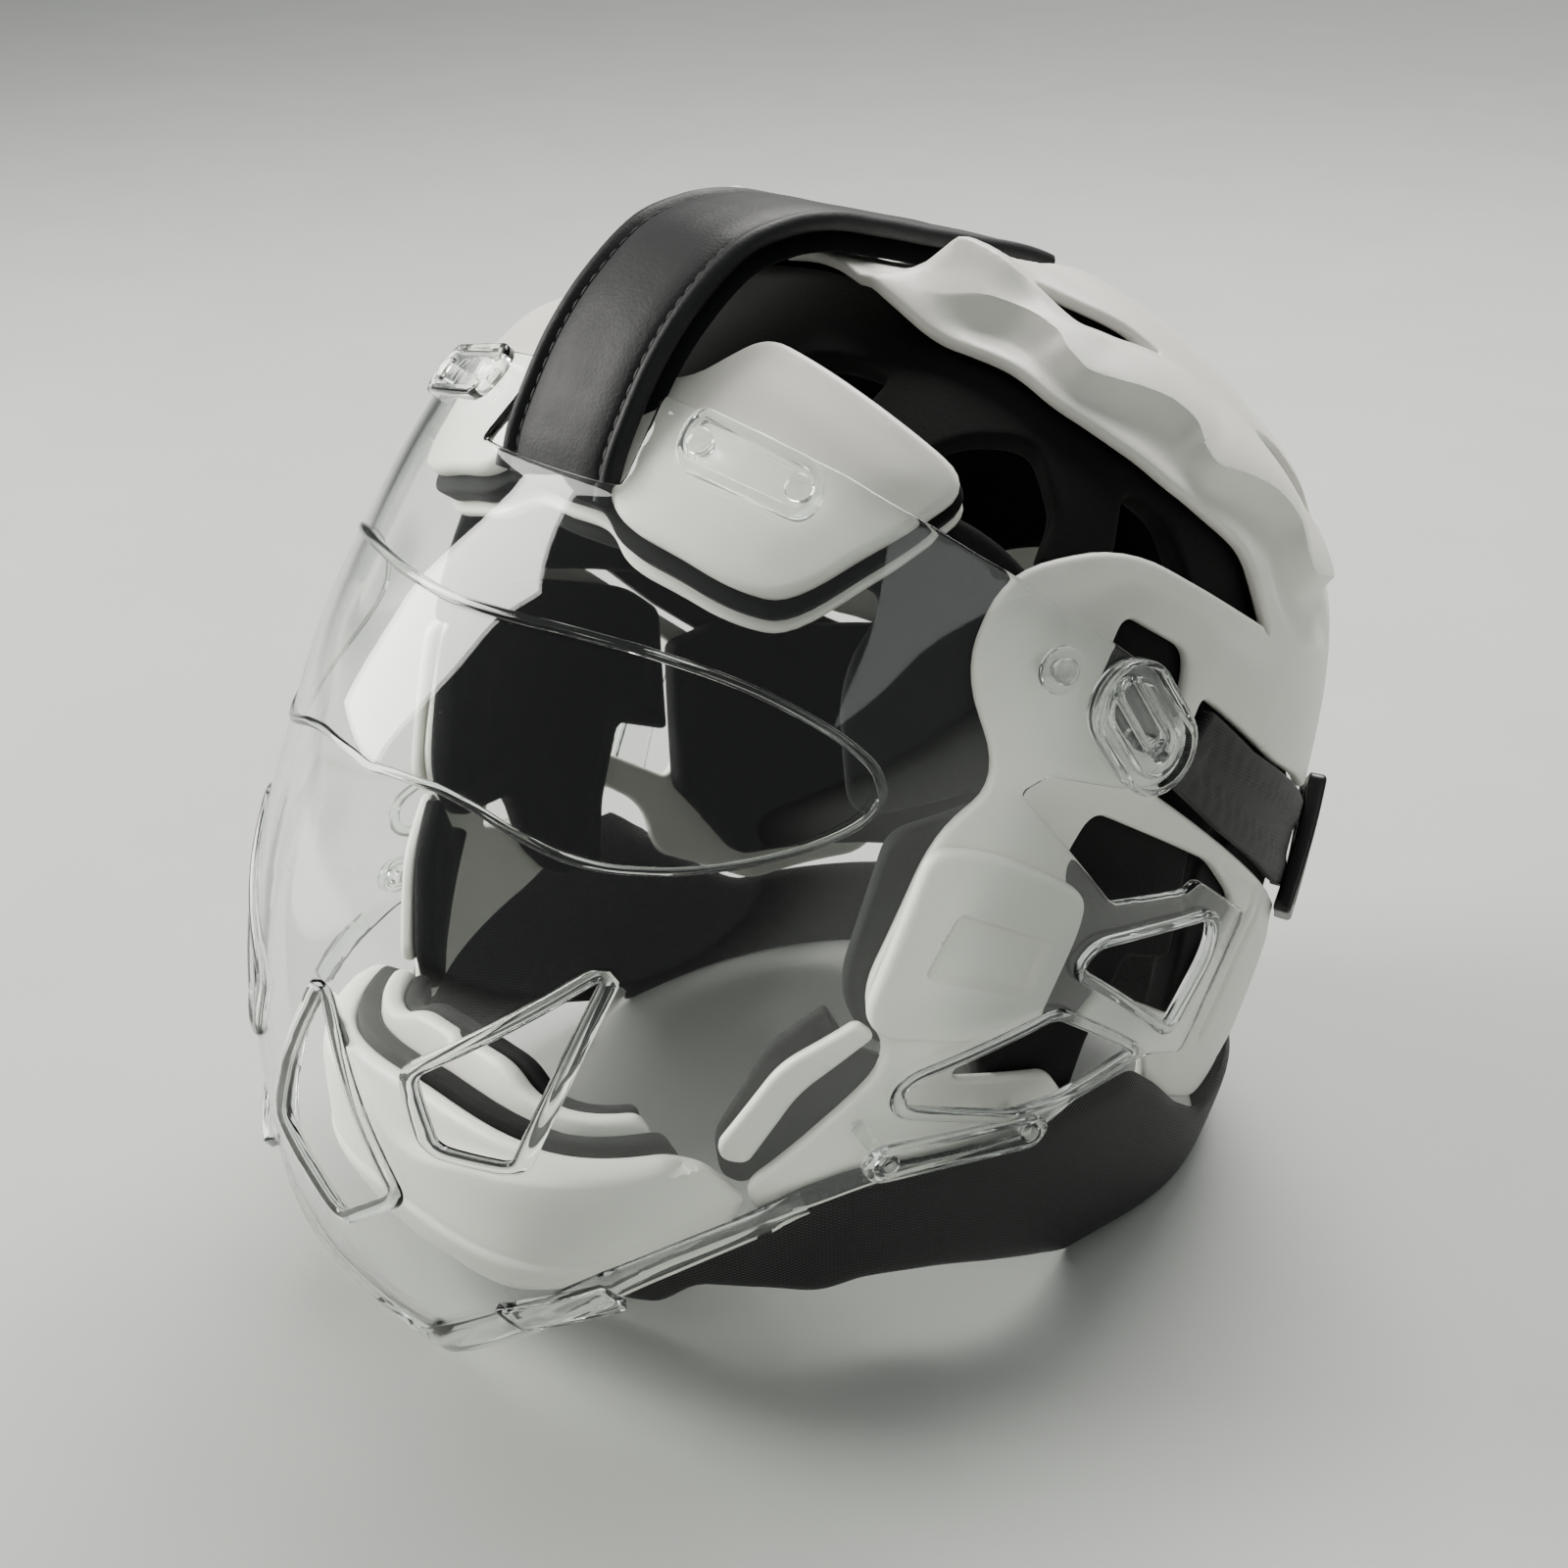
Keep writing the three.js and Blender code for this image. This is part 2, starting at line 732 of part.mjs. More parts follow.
// Split every edge that is too long on the skin, so that a flat plate can bend smoothly
function refined(flat, place, relief, facet) {
  const source = flat.attributes.position;
  const points = Array.from({ length: source.count }, (_, i) => (
    new THREE.Vector3().fromBufferAttribute(source, i)));
  const placed = points.map(place);
  const height = points.map((point) => relief(point.x, point.y));
  let triangles = [];
  for (let i = 0; i < flat.index.count; i += 3) {
    triangles.push([0, 1, 2].map((k) => flat.index.getX(i + k)));
  }
  const span = (a, b) => placed[a].distanceTo(placed[b]);
  const tooLong = ([a, b]) => span(a, b) > facet
    || (Math.abs(height[a] - height[b]) > RELIEF_STEP && span(a, b) > RELIEF_FACET);
  for (let split = true; split;) {
    relaxed(points, triangles);
    const middles = new Map();
    triangles.forEach(([a, b, c]) => {
      const [longest] = [[a, b], [b, c], [c, a]]
        .filter(tooLong)
        .sort((one, two) => span(...two) - span(...one));
      if (longest) middles.set(edgeKey(...longest), longest);
    });
    middles.forEach(([a, b], key) => {
      const point = points[a].clone().lerp(points[b], 0.5);
      points.push(point);
      placed.push(place(point));
      height.push(relief(point.x, point.y));
      middles.set(key, points.length - 1);
    });
    const middle = (a, b) => middles.get(edgeKey(a, b)) ?? -1;
    triangles = triangles.flatMap(([a, b, c]) => (
      pieces(a, b, c, middle(a, b), middle(b, c), middle(c, a))));
    split = middles.size > 0;
  }
  const geometry = new THREE.BufferGeometry();
  const numbers = placed.flatMap((point) => point.toArray());
  geometry.setAttribute('position', new THREE.Float32BufferAttribute(numbers, 3));
  geometry.setIndex(triangles.flat());
  return geometry;
}

const level = () => 0;

// A wall between two depths, from its flat outline: the general maker of the wrapped pieces
function wrapped(map, corners, { outer, wall, holes = [], bevel = 0, facet = FACET, relief = level }) {
  const turned = (points, clockwise) => (
    THREE.ShapeUtils.isClockWise(points) === clockwise ? points : [...points].reverse());
  const shape = trace(new THREE.Shape(), turned(corners, false));
  holes.forEach((hole) => shape.holes.push(trace(new THREE.Path(), turned(hole, true))));
  const flat = new THREE.ExtrudeGeometry(shape, {
    depth: wall - 2 * bevel,
    bevelEnabled: bevel > 0,
    bevelSegments: 1,
    bevelSize: bevel,
    bevelThickness: bevel,
    bevelOffset: -bevel,
    curveSegments: 2,
  });
  flat.translate(0, 0, outer - wall + bevel);
  flat.deleteAttribute('normal');
  flat.deleteAttribute('uv');
  const place = (p) => lifted(map, p.x, p.y, p.z + relief(p.x, p.y));
  return refined(mergeVertices(flat, 1e-4), place, relief, facet);
}

// The same piece on the wearer's right
function toRight(geometry) {
  const right = geometry.clone();
  right.scale(-1, 1, 1);
  const index = right.index.array;
  for (let i = 0; i < index.length; i += 3) [index[i], index[i + 1]] = [index[i + 1], index[i]];
  return right;
}

const solidOf = (geometry) => new wasm.Manifold(new wasm.Mesh({
  numProp: 3,
  vertProperties: geometry.attributes.position.array,
  triVerts: new Uint32Array(geometry.index.array),
}));

function geometryOf(solid) {
  const mesh = solid.getMesh();
  const geometry = new THREE.BufferGeometry();
  geometry.setAttribute('position', new THREE.BufferAttribute(mesh.vertProperties, 3));
  geometry.setIndex(new THREE.BufferAttribute(mesh.triVerts, 1));
  return geometry;
}

// What stands below the floor is cut off, which leaves the flat that the piece rests on
function floored(solid) {
  const below = new THREE.BoxGeometry(4 * SHIELD_FRONT, 4 * SHIELD_FRONT, HEIGHT);
  below.deleteAttribute('normal');
  below.deleteAttribute('uv');
  below.translate(0, 0, -HEIGHT / 2);
  return solid.subtract(solidOf(mergeVertices(below)));
}

// Relief of the crown: the strap's channel in the middle and a raised lobe on each side of it
const strapRise = (v) => percent(smooth(TOP_STRAP, 'v', 'rise', (100 * v) / HEIGHT));

function crownRelief(u, v) {
  const side = Math.abs(u) - TOP_STRAP_WIDTH / 2 - CHANNEL_SIDE;
  const fade = 1 - ease((v - percent(TOP_STRAP.at(-1).v)) / percent(CHANNEL_END - TOP_STRAP.at(-1).v));
  const arch = ease((v - percent(ARCH_FOOT)) / percent(ARCH_TOP - ARCH_FOOT));
  const channel = (strapRise(v) - TOP_STRAP_WALL - 2 * SOFT_GAP) * fade * arch;
  const lobe = percent(smooth(LOBE, 'v', 'rise', (100 * v) / HEIGHT));
  const outwards = ease(side / percent(CHANNEL_SLOPE));
  return channel * (1 - outwards) + lobe * arch * outwards * (1 - ease(side / percent(LOBE_WIDTH)));
}

// How far inwards from a point of one skin another skin lies
function reach(map, x, y, skin) {
  const outside = (point) => {
    const across = point.x;
    const along = SECTION_Y - point.y;
    const edge = skinPoint(skin, Math.atan2(across, along) / DEGREE, point.z);
    return Math.hypot(across, along) > Math.hypot(edge.x, SECTION_Y - edge.y);
  };
  let near = 0;
  let far = SHIELD_FRONT - JAW_REAR;
  while (far - near > FIT / 10) {
    const middle = (near + far) / 2;
    if (outside(lifted(map, x, y, -middle))) near = middle;
    else far = middle;
  }
  return near;
}

const PIN_SIDES = 6;
const ROUND_SIDES = 10;
const END_SIDES = 4;

const circle = (x, y, radius, sides = PIN_SIDES) => Array.from({ length: sides }, (_, i) => ({
  x: x + radius * Math.cos((2 * Math.PI * i) / sides),
  y: y + radius * Math.sin((2 * Math.PI * i) / sides),
  ease: 0,
}));

// Outline of a bar with round ends
function pill(from, to, radius) {
  const turn = Math.atan2(to.y - from.y, to.x - from.x);
  const end = (centre, start) => Array.from({ length: END_SIDES + 1 }, (_, i) => {
    const angle = start + (Math.PI * i) / END_SIDES;
    return { x: centre.x + radius * Math.cos(angle), y: centre.y + radius * Math.sin(angle), ease: 0 };
  });
  return [...end(to, turn - Math.PI / 2), ...end(from, turn + Math.PI / 2)];
}

function turnedBox(centre, width, length, turn, ease) {
  return [[-1, -1], [1, -1], [1, 1], [-1, 1]].map(([across, along]) => ({
    x: centre.x + (Math.cos(turn) * across * width - Math.sin(turn) * along * length) / 2,
    y: centre.y + (Math.sin(turn) * across * width + Math.cos(turn) * along * length) / 2,
    ease,
  }));
}

// Depths of the layers, measured outwards from the white face of the shell
const LINER_FACE = -SHELL_WALL - LAYER_GAP;
const CROWN_LINER_FACE = -SHELL_WALL - 2 * SOFT_GAP;
const REAR_STRAP_FACE = -FIT;
const RAIL_FACE = -0.4;
const FOREHEAD_FOAM_FACE = RAIL_FACE + LAYER_GAP + FOREHEAD_FOAM_WALL;
const FOREHEAD_PLATE_FACE = FOREHEAD_FOAM_FACE + LAYER_GAP + FOREHEAD_PLATE_WALL;
const CHIN_FOAM_FACE = -BUMPER_WALL - SOFT_GAP;
const CHIN_RAIL_FACE = CHIN_FOAM_FACE - CHIN_FOAM_WALL - SOFT_GAP;
const CHIN_LINING_FACE = CHIN_RAIL_FACE - CHIN_RAIL_WALL - SOFT_GAP;

const shellSide = sideMap(SHELL);
const shieldSide = sideMap(SHIELD);
const jawSide = sideMap(JAW);
const REAR_X = 180 * MM_PER_DEGREE;

// Where the fasteners of the shield stand
const FOREHEAD_PINS = sideCorners(table('angle level', [
  [22.6, 86],
  [36.3, 83.7],
]));
const [TEMPLE_PIN] = sideCorners(table('angle level', [[65.6, 68.9]]));
const [PIVOT] = sideCorners(table('angle level', [[79.4, 62.4]]));
const PIVOT_HEAD = sideCorners(table('angle level', [
  [74.5, 64.4],
  [78.5, 59.6],
]));
const JAW_PINS = sideCorners(table('angle level', [
  [47, 25.8],
  [64, 23.6],
]));

function crownShell() {
  const seam = (row, side) => {
    const angle = (SEAM_ANGLE + side * (SEAM / 2 / MM_PER_DEGREE)) * DEGREE;
    const drop = percent(row.level) - CROWN_SPRING;
    const radius = drop >= 0
      ? CROWN_RADIUS * Math.acos(drop / (CROWN_TOP - CROWN_SPRING))
      : (CROWN_RADIUS * Math.PI) / 2 - drop;
    return { x: radius * Math.sin(angle), y: -radius * Math.cos(angle), ease: 0 };
  };
  const half = [
    ...crownCorners(CROWN_FRONT_EDGE),
    seam(SIDE_FRAME[0], 1),
    seam(SIDE_FRAME.at(-1), 1),
    ...crownCorners(CROWN_REAR_EDGE),
  ];
  const vents = [CROWN_VENT, REAR_VENT].map(crownCorners);
  const holes = [...vents, ...vents.map((vent) => vent.map((corner) => ({ ...corner, x: -corner.x })))];
  return wrapped(crownMap, mirrored(half), {
    outer: 0,
    wall: SHELL_WALL,
    holes,
    relief: crownRelief,
    facet: CROWN_FACET,
  });
}

function sideFrame() {
  const corners = sideCorners(SIDE_FRAME);
  corners[0].x -= SEAM / 2;
  corners.at(-1).x -= SEAM / 2;
  return wrapped(shellSide, corners, { outer: 0, wall: SHELL_WALL, holes: [sideCorners(PIVOT_HOLE)] });
}

function cheekPlate() {
  return wrapped(shellSide, sideCorners(CHEEK_PLATE), {
    outer: LAYER_GAP + CHEEK_PLATE_WALL,
    wall: CHEEK_PLATE_WALL,
    bevel: BEVEL,
  });
}

function foreheadLayer(face, wall, show, bevel) {
  const corners = grown(mirrored(crownCorners(FOREHEAD_HALF)), show);
  return wrapped(crownMap, shifted(corners, 0, -show), { outer: face, wall, bevel, facet: SMALL_FACET });
}

function chinLayer(half, face, wall, bevel = 0) {
  const corners = mirrored(sideCorners(half));
  return wrapped(jawSide, corners, { outer: face, wall, bevel, facet: SMALL_FACET });
}

function jawRail() {
  return wrapped(shellSide, sideCorners(JAW_RAIL), { outer: RAIL_FACE, wall: RAIL_WALL });
}

function liningPad(rows, wall) {
  return wrapped(shellSide, sideCorners(rows), { outer: LINER_FACE, wall });
}

function crownLiner() {
  const corners = mirrored(crownCorners(CROWN_LINER_HALF));
  return wrapped(crownMap, corners, {
    outer: CROWN_LINER_FACE,
    wall: LINER_WALL,
    relief: (u, v) => Math.min(crownRelief(CHANNEL_EASE * u, v), 0),
    facet: CROWN_FACET,
  });
}

function headband() {
  return wrapped(shellSide, mirrored(sideCorners(HEADBAND_HALF)), { outer: LINER_FACE, wall: LINER_WALL });
}

function napePad() {
  const corners = mirrored(sideCorners(NAPE_PAD_HALF), REAR_X);
  return wrapped(shellSide, corners, { outer: LINER_FACE, wall: PAD_WALL });
}

function rearStrap() {
  const corners = mirrored(sideCorners(REAR_STRAP_HALF), REAR_X);
  return wrapped(shellSide, corners, { outer: REAR_STRAP_FACE, wall: BAND_WALL });
}

// Ladder buckle: a frame with two slots, square across the band
function buckle() {
  const centre = { x: BUCKLE_ANGLE * MM_PER_DEGREE, y: percent(BUCKLE_LEVEL) };
  const turn = BUCKLE_TURN * DEGREE;
  const slotWidth = (BUCKLE_WIDTH - 3 * BUCKLE_BAR) / 2;
  const offset = (slotWidth + BUCKLE_BAR) / 2;
  const slots = [-1, 1].map((side) => turnedBox(
    { x: centre.x + side * offset * Math.cos(turn), y: centre.y + side * offset * Math.sin(turn) },
    slotWidth,
    BUCKLE_LENGTH - 2 * BUCKLE_BAR,
    turn,
    0,
  ));
  return wrapped(shellSide, turnedBox(centre, BUCKLE_WIDTH, BUCKLE_LENGTH, turn, BUCKLE_BAR / 2), {
    outer: LAYER_GAP + BUCKLE_WALL,
    facet: PIN_FACET,
    wall: BUCKLE_WALL,
    holes: slots,
  });
}

// The band's side view, extruded across the head
function topStrap() {
  const along = TOP_STRAP.map((row) => percent(row.v));
  const seat = FOREHEAD_PLATE_FACE + LAYER_GAP;
  const side = (rise) => along.map((v) => lifted(crownMap, 0, v, rise(v)));
  const outer = side(strapRise);
  const overPlate = (v) => v < percent(FOREHEAD_HALF.at(-1).v);
  const inner = side((v) => Math.max(strapRise(v) - TOP_STRAP_WALL, overPlate(v) ? seat : -HEIGHT));
  const flat = (points) => {
    const curve = new THREE.SplineCurve(points.map((p) => new THREE.Vector2(p.y, p.z)));
    return curve.getPoints(2 * along.length);
  };
  const shape = new THREE.Shape([...flat(outer), ...flat(inner).reverse()]);
  const geometry = new THREE.ExtrudeGeometry(shape, { depth: TOP_STRAP_WIDTH, bevelEnabled: false });
  geometry.translate(0, 0, -TOP_STRAP_WIDTH / 2);
  geometry.applyMatrix4(new THREE.Matrix4().makeBasis(
    new THREE.Vector3(0, 1, 0),
    new THREE.Vector3(0, 0, 1),
    new THREE.Vector3(1, 0, 0),
  ));
  return geometry;
}

// A closed ring of four-cornered sections round the shell skin
function chinStrap() {
  const inner = LAYER_GAP + FIT;
  const outer = inner + BAND_WALL;
  const sections = Array.from({ length: CHIN_STRAP_STEPS }, (_, i) => {
    const angle = (360 * i) / CHIN_STRAP_STEPS - 180;
    const edge = (column) => percent(smooth(CHIN_STRAP, 'angle', column, Math.abs(angle)));
    const corner = (height, depth) => lifted(shellSide, angle * MM_PER_DEGREE, height, depth);
    return [
      corner(edge('bottom') - FIT, inner),
      corner(edge('bottom') - FIT, outer),
      corner(edge('top'), outer),
      corner(edge('top'), inner),
    ];
  });
  const index = [];
  sections.forEach((section, i) => {
    const next = (i + 1) % sections.length;
    section.forEach((_, k) => {
      const other = (k + 1) % section.length;
      const [a, b, c, d] = [[i, k], [next, k], [next, other], [i, other]].map(([ring, at]) => 4 * ring + at);
      index.push(a, b, c, a, c, d);
    });
  });
  const geometry = new THREE.BufferGeometry();
  const numbers = sections.flat().flatMap((point) => point.toArray());
  geometry.setAttribute('position', new THREE.Float32BufferAttribute(numbers, 3));
  geometry.setIndex(index);
  return geometryOf(floored(solidOf(geometry)));
}

// The clear moulding with its vents and pin holes, and the bead along its lower edge
function faceShield() {
  const pins = [...FOREHEAD_PINS, TEMPLE_PIN].map((pin) => circle(pin.x, pin.y, PIN_RADIUS + FIT));
  pins.push(circle(PIVOT.x, PIVOT.y, PIVOT_PIN_RADIUS + FIT));
  pins.push(...JAW_PINS.map((pin) => circle(pin.x, pin.y, JAW_PIN_RADIUS + FIT)));
  const left = [...[WING_WINDOW, LOWER_WINDOW, MOUTH_VENT].map(sideCorners), ...pins];
  const right = left.map((hole) => hole.map((corner) => ({ ...corner, x: -corner.x })));
  const moulding = wrapped(shieldSide, mirrored(sideCorners(SHIELD_HALF_OUTLINE)), {
    outer: 0,
    wall: SHIELD_WALL,
    holes: [...left, ...right, sideCorners(KITE_VENT)],
    facet: SHIELD_FACET,
  });
  const lower = mirrored(sideCorners(RIM_HALF)).sort((a, b) => a.x - b.x);
  const bead = [...shifted(lower, 0, -FIT), ...shifted(lower, 0, RIM_WIDTH).reverse()];
  const rim = wrapped(shieldSide, bead, {
    outer: RIM_PROUD,
    wall: RIM_PROUD + SHIELD_WALL / 2,
    facet: SHIELD_FACET,
  });
  return geometryOf(floored(solidOf(moulding).add(solidOf(rim))));
}

// A snap fastener: a head outside the shield, and pins through it to the white shell
function fastener(head, headWall, pins, radius, depthOf) {
  const cap = solidOf(wrapped(shieldSide, head, {
    outer: FIT + headWall,
    wall: headWall,
    facet: PIN_FACET,
  }));
  const whole = pins.reduce((solid, pin) => {
    const depth = depthOf(pin);
    const wall = FIT + headWall / 2 + depth;
    const shank = wrapped(shieldSide, circle(pin.x, pin.y, radius), { outer: FIT + headWall / 2, wall });
    return solid.add(solidOf(shank));
  }, cap);
  return geometryOf(whole);
}

function foreheadClip() {
  return fastener(
    pill(...FOREHEAD_PINS, FOREHEAD_HEAD_RADIUS),
    HEAD_WALL,
    FOREHEAD_PINS,
    PIN_RADIUS,
    (pin) => reach(shieldSide, pin.x, pin.y, SHELL) - FOREHEAD_PLATE_FACE - FIT,
  );
}

function templePin() {
  return fastener(
    circle(TEMPLE_PIN.x, TEMPLE_PIN.y, TEMPLE_HEAD_RADIUS, ROUND_SIDES),
    HEAD_WALL,
    [TEMPLE_PIN],
    PIN_RADIUS,
    (pin) => reach(shieldSide, pin.x, pin.y, SHELL) - FIT,
  );
}

function pivotPin() {
  return fastener(
    pill(...PIVOT_HEAD, PIVOT_HEAD_RADIUS),
    PIVOT_HEAD_WALL,
    [PIVOT],
    PIVOT_PIN_RADIUS,
    (pin) => reach(shieldSide, pin.x, pin.y, SHELL) - LINER_FACE - FIT,
  );
}

function jawClip() {
  return fastener(
    pill(...JAW_PINS, JAW_HEAD_RADIUS),
    HEAD_WALL,
    JAW_PINS,
    JAW_PIN_RADIUS,
    (pin) => reach(shieldSide, pin.x, pin.y, SHELL) - FIT,
  );
}

const material = (color, roughness, more = {}) => () => new THREE.MeshStandardMaterial({
  color,
  roughness,
  metalness: 0,
  ...more,
});
const whitePlastic = material('#e4e4de', 0.42);
const blackFoam = material('#17181a', 0.85);
const blackLeather = material('#1c1d20', 0.5);
const blackWebbing = material('#121315', 0.75);
const blackPlastic = material('#0f1012', 0.4);
const clearPlastic = material('#eef2f2', 0.08, { transparent: true, opacity: 0.3 });

const headgear = new THREE.Group();

function add(name, geometry, finish) {
  const mesh = new THREE.Mesh(geometry, finish());
  mesh.name = name;
  headgear.add(mesh);
}

function addPair(name, geometry, finish) {
  add(`${name}_left`, geometry, finish);
  add(`${name}_right`, toRight(geometry), finish);
}

add('face_shield', faceShield(), clearPlastic);
add('crown_shell', crownShell(), whitePlastic);
addPair('side_frame', sideFrame(), whitePlastic);
addPair('cheek_plate', cheekPlate(), whitePlastic);
add('forehead_plate', foreheadLayer(FOREHEAD_PLATE_FACE, FOREHEAD_PLATE_WALL, 0, BEVEL), whitePlastic);
add('forehead_foam', foreheadLayer(FOREHEAD_FOAM_FACE, FOREHEAD_FOAM_WALL, FOREHEAD_FOAM_SHOW, 0), blackFoam);
add('forehead_rail', foreheadLayer(RAIL_FACE, RAIL_WALL, FOREHEAD_RAIL_SHOW, 0), whitePlastic);
add('chin_bumper', chinLayer(BUMPER_HALF, 0, BUMPER_WALL, BUMPER_BEVEL), whitePlastic);
add('chin_foam', chinLayer(CHIN_FOAM_HALF, CHIN_FOAM_FACE, CHIN_FOAM_WALL), blackFoam);
add('chin_rail', chinLayer(CHIN_RAIL_HALF, CHIN_RAIL_FACE, CHIN_RAIL_WALL), whitePlastic);
add('chin_lining', chinLayer(CHIN_LINING_HALF, CHIN_LINING_FACE, CHIN_LINING_WALL), blackFoam);
addPair('jaw_rail', jawRail(), whitePlastic);
addPair('jaw_foam', liningPad(JAW_FOAM, LINER_WALL), blackFoam);
add('crown_liner', crownLiner(), blackFoam);
add('headband', headband(), blackFoam);
addPair('cheek_pad', liningPad(CHEEK_PAD, PAD_WALL), blackFoam);
add('nape_pad', napePad(), blackFoam);
add('top_strap', topStrap(), blackLeather);
add('rear_strap', rearStrap(), blackWebbing);
add('buckle', buckle(), blackPlastic);
add('chin_strap', chinStrap(), blackWebbing);
addPair('forehead_clip', foreheadClip(), clearPlastic);
addPair('temple_pin', templePin(), clearPlastic);
addPair('pivot_pin', pivotPin(), clearPlastic);
addPair('jaw_clip', jawClip(), clearPlastic);

export default headgear;
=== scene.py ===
"""Sparring headgear with a clear face shield, dressed for a studio picture.

Every moulded or padded piece is a flat outline with a wall, wrapped on one of three smooth skins. The flat
map of a side is (x, y): the angle from the face, unrolled at the shell's half width, and the height. The
flat map of the crown is (u, v): u to the wearer's left and v to the rear from the top of the head. Lengths
in the outlines are percentages of HEIGHT, and other lengths are millimetres unless a comment says
otherwise. The face looks along -Y.
"""

import math

import bpy
import numpy as np
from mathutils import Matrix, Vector
from mathutils.geometry import delaunay_2d_cdt


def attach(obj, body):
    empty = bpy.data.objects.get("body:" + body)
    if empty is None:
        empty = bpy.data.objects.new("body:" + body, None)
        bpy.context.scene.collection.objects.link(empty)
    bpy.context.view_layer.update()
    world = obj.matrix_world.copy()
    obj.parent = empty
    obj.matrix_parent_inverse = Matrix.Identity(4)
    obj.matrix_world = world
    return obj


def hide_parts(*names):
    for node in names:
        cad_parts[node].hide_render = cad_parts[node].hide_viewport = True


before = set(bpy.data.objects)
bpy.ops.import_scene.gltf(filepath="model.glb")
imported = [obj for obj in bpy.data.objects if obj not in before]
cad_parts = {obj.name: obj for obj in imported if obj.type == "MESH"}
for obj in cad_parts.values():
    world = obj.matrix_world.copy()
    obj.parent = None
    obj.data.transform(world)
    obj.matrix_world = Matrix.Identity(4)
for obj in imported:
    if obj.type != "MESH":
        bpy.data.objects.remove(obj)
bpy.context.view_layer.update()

# Overall sizes, the same as the construction's
HEIGHT = 250
SHELL_FRONT = 131
SHELL_REAR = 122
SHELL_HALF = 105
SHIELD_FRONT = 172
SHIELD_REAR = 129
SHIELD_HALF = 110
JAW_FRONT = 150
JAW_REAR = 80
JAW_HALF = 76

# Walls
SHELL_WALL = 3.2
SHIELD_WALL = 2.6
LINER_WALL = 7.3
PAD_WALL = 9.3
CHEEK_PLATE_WALL = 3.6
FOREHEAD_PLATE_WALL = 4.4
FOREHEAD_FOAM_WALL = 5.2
FOREHEAD_RAIL_WALL = 2.8
JAW_RAIL_WALL = 3.2
BUMPER_WALL = 7
CHIN_FOAM_WALL = 5.2
CHIN_RAIL_WALL = 5.2
CHIN_LINING_WALL = 4.4
BAND_WALL = 2.4
TOP_STRAP_WALL = 7.5
TOP_STRAP_WIDTH = 38
BUCKLE_WALL = 4.6

# Depths of the faces, outwards from the white face of the shell or of the chin bumper
LINER_FACE = -3.7
CROWN_LINER_FACE = -5.4
REAR_STRAP_FACE = -0.1
FOREHEAD_RAIL_FACE = 0
JAW_RAIL_FACE = 0.2
FOREHEAD_FOAM_FACE = 5.7
FOREHEAD_PLATE_FACE = 10.3
CHEEK_PLATE_FACE = 4.1
CHIN_FOAM_FACE = -7.2
CHIN_RAIL_FACE = -12.6
CHIN_LINING_FACE = -18.2
STRAP_INNER = 1.2
BUCKLE_FACE = 5.5

# Swell of the faces between their edges, and the ledge across the chin bumper
SIDE_FRAME_SWELL = 0.9
CHEEK_PLATE_SWELL = 1.1
BUMPER_SWELL = 0.6
BUMPER_LEDGE = 2.6

# The crown's dome, the seam below it, the middle of the level sections and the scale of the side map
CROWN_TOP = 0.96 * HEIGHT
CROWN_SPRING = 0.52 * HEIGHT
CROWN_RADIUS = 0.472 * HEIGHT
CROWN_MIDDLE = 0.05
SEAM_ANGLE = 106
SECTION_Y = (SHIELD_FRONT - SHELL_REAR) / 2
MM_PER_DEGREE = math.radians(SHELL_HALF)
REAR_X = 180 * MM_PER_DEGREE
FLOOR_CLEARANCE = 0.05
MM = 0.001


def percent(share):
    """A share of the height, in millimetres."""
    return np.asarray(share, float) * HEIGHT / 100


# Skins: level, then front, rear and half width as shares of the skin's sizes, and the power of its section
SHELL = (SHELL_FRONT, SHELL_REAR, SHELL_HALF, np.array([
    (0, 0.855, 0.705, 0.8, 2.3),
    (12, 0.962, 0.803, 0.867, 2.3),
    (24, 1, 0.885, 0.924, 2.3),
    (40, 0.977, 0.951, 0.971, 2.3),
    (56, 0.916, 1, 1, 2.2),
    (70, 0.817, 0.926, 0.971, 2),
    (80, 0.672, 0.746, 0.876, 1.9),
    (88, 0.504, 0.541, 0.705, 1.85),
    (93.6, 0.298, 0.311, 0.467, 1.85),
    (96, 0, 0, 0, 1.85),
]))

SHIELD = (SHIELD_FRONT, SHIELD_REAR, SHIELD_HALF, np.array([
    (0, 0.872, 0.465, 0.709, 2.5),
    (8, 0.948, 0.543, 0.818, 2.5),
    (18, 0.988, 0.651, 0.909, 2.4),
    (30, 1, 0.798, 0.964, 2.3),
    (40, 0.983, 0.915, 0.991, 2.25),
    (60, 0.884, 1, 1, 2.05),
    (72, 0.756, 0.922, 0.982, 2.05),
    (84, 0.57, 0.744, 0.891, 2.2),
    (96, 0.384, 0.465, 0.727, 2.2),
]))

JAW = (JAW_FRONT, JAW_REAR, JAW_HALF, np.array([
    (0, 0.853, 0.5, 0.684, 2.6),
    (4.8, 0.92, 0.625, 0.789, 3),
    (10, 0.973, 0.75, 0.895, 3.4),
    (16, 1, 0.825, 0.947, 3.6),
    (20.8, 1, 0.875, 0.974, 3.6),
    (26, 0.993, 0.925, 0.987, 3.4),
    (32, 0.973, 1, 1, 3.2),
]))

